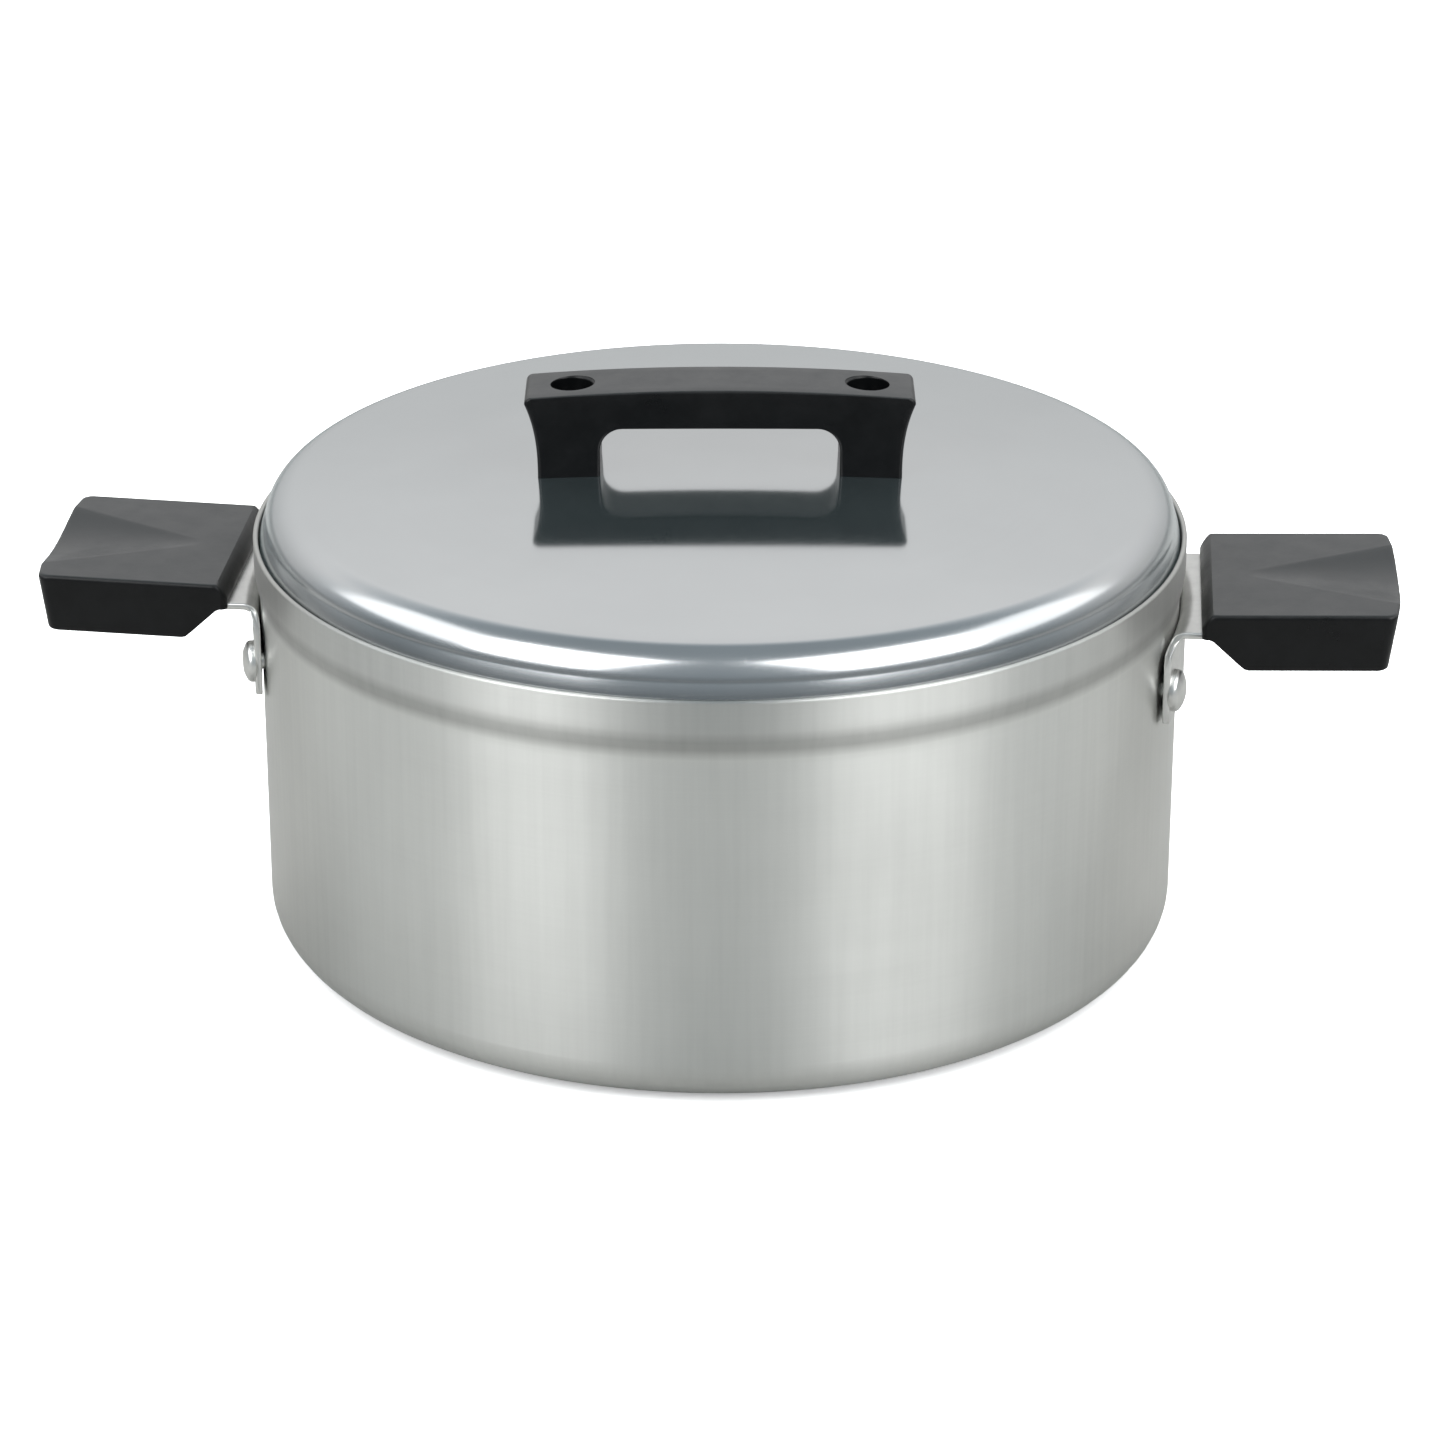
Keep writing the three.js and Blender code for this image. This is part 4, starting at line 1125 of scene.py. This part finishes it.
def make_world():
    """Studio walls: bright behind the pot up to half height, dim and slightly blue in front and overhead.

    Straight on, the camera sees a plain white backdrop in their place.
    """
    wall_from, wall_top = (-0.15, 0.5), (0.60, 0.82)
    wall_heights, wall_levels = (0.12, 0.55), (0.67, 1.05)
    front_heights, front_levels = (0.0, 0.3), (0.2, 0.40)
    world = bpy.data.worlds.new("studio")
    bpy.context.scene.world = world
    world.use_nodes = True
    tree = world.node_tree
    nodes, links = tree.nodes, tree.links
    ray = nodes.new("ShaderNodeTexCoord")
    axes = nodes.new("ShaderNodeSeparateXYZ")
    links.new(ray.outputs["Generated"], axes.inputs[0])
    behind = spread(tree, axes.outputs[1], *wall_from)
    below = spread(tree, axes.outputs[2], *wall_top, 1.0, 0.0)
    wall = times(tree, behind, below)
    wall_level = spread(tree, axes.outputs[2], *wall_heights, *wall_levels)
    front_level = spread(tree, axes.outputs[2], *front_heights, *front_levels)
    level = spread(tree, wall, 0.0, 1.0, front_level, wall_level)
    colour = blend_colours(tree, wall, (0.87, 1.0, 1.09), (1.0, 1.0, 1.0))
    links.new(level, nodes["Background"].inputs["Strength"])
    links.new(colour, nodes["Background"].inputs["Color"])
    backdrop = nodes.new("ShaderNodeBackground")
    backdrop.inputs["Color"].default_value = (1.0, 1.0, 1.0, 1.0)
    seen = nodes.new("ShaderNodeLightPath")
    mix = nodes.new("ShaderNodeMixShader")
    links.new(seen.outputs["Is Camera Ray"], mix.inputs[0])
    links.new(nodes["Background"].outputs[0], mix.inputs[1])
    links.new(backdrop.outputs[0], mix.inputs[2])
    links.new(mix.outputs[0], nodes["World Output"].inputs["Surface"])


# ---- Assembly ----

GROUPS = {"lines": lathe_lines_group(), "wear": handling_wear_group(), "grain": moulding_grain_group()}

# On the pot, painted shade darkens the step and, more faintly, the band above it.
POT_METAL = spun_metal("satin_spun_aluminium", (0.69, 0.695, 0.67), {
    "finish_radius": (0.1102, 0.1110), "roughness": (0.355, 0.45), "pull": 0.92, "lines_per_metre": 1400.0,
    "painted_shade_heights": (0.0858, 0.0885, 0.0905, 0.0930), "painted_shade_above": 0.48, "painted_shade": 0.36, "haze": 0.0,
    "lines": 0.012, "streaks": 0.03, "patches": 0.035, "grain": 0.012, "smudges": 0.02, "depth": 0.03,
})
# On the lid, painted shade darkens the skirt just above the pot's rim.
LID_METAL = spun_metal("polished_spun_aluminium", (0.517, 0.526, 0.532), {
    "finish_radius": (0.0975, 0.104), "roughness": (0.085, 0.21), "pull": 0.15, "lines_per_metre": 1100.0,
    "painted_shade_heights": (0.1000, 0.1005, 0.1010, 0.1030), "painted_shade_above": 0.0, "painted_shade": 0.15, "haze": 0.072,
    "lines": 0.008, "streaks": 0.0, "patches": 0.03, "grain": 0.01, "smudges": 0.02, "depth": 0.02,
})
RESIN = moulded_resin("black_phenolic_resin", (0.0017, 0.0019, 0.0021), 0.30, 0.40)
SHEET_METAL = plain_metal("pressed_aluminium_sheet", (0.74, 0.74, 0.72), 0.28, 0.4)
PLATED = plain_metal("zinc_plated_steel", (0.56, 0.58, 0.6), 0.22, 0.36)
BLACKENED = plain_metal("blackened_steel", (0.05, 0.05, 0.055), 0.3, 0.45)
BRASS = plain_metal("turned_brass", (0.68, 0.5, 0.24), 0.25, 0.4)


def fit(piece, body, node, material):
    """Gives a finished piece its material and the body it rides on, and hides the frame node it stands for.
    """
    piece.data.materials.clear()
    piece.data.materials.append(material)
    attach(piece, body)
    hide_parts(node)


make_camera()
make_floor()
make_world()
for softbox in SOFTBOXES:
    make_softbox(*softbox)

fit(make_pot(), "pot", "pot_shell", POT_METAL)
fit(make_lid(), "lid", "lid_shell", LID_METAL)
fit(make_lid_handle(), "lid", "lid_handle", RESIN)

seat = COUNTERBORE_Z + SEAT_GAP
shank = seat - LID_SCREW_END_Z

for side, sign in (("left", -1), ("right", 1)):
    at = turn_z(LID_TURN) @ shift(sign * SCREW_X, 0, 0)
    screw = make_screw(f"bridge_screw_{side}", LID_SCREW_HEAD_H, shank, at @ shift(0, 0, seat))
    fit(screw, "lid", f"lid_handle_screw_{side}", BLACKENED)
    washer = make_washer(f"bridge_washer_{side}", at)
    fit(washer, "lid", f"lid_handle_washer_{side}", PLATED)
    nut = make_nut(f"bridge_nut_{side}", at @ shift(0, 0, NUT_LOW_Z))
    fit(nut, "lid", f"lid_handle_nut_{side}", PLATED)

    side_turn = 0.0 if side == "right" else math.pi
    bracket = make_bracket(f"riveted_bracket_{side}", side_turn)
    fit(bracket, "pot", f"handle_bracket_{side}", SHEET_METAL)
    for end, end_sign in (("front", -sign), ("rear", sign)):
        rivet = make_rivet(f"rivet_{side}_{end}", side_turn + end_sign * RIVET_TURN)
        fit(rivet, "pot", f"bracket_rivet_{side}_{end}", SHEET_METAL)
    grip = make_grip(f"moulded_grip_{side}", side_turn)
    fit(grip, "pot", f"side_grip_{side}", RESIN)
    under = turn_z(side_turn) @ grip_tilt() @ shift(GRIP_SCREW_X, 0, GRIP_LOW_Z + GRIP_SCREW_SEAT)
    under = under @ np.array(Matrix.Rotation(math.pi, 4, "X"))
    screw = make_screw(f"underside_screw_{side}", GRIP_SCREW_HEAD_H, GRIP_SCREW_L, under)
    fit(screw, "pot", f"grip_screw_{side}", PLATED)
    # The brass insert shows as the frame gives it, only with its material.
    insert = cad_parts[f"grip_insert_{side}"]
    insert.data.materials.clear()
    insert.data.materials.append(BRASS)

bpy.context.scene.view_settings.view_transform = "Standard"
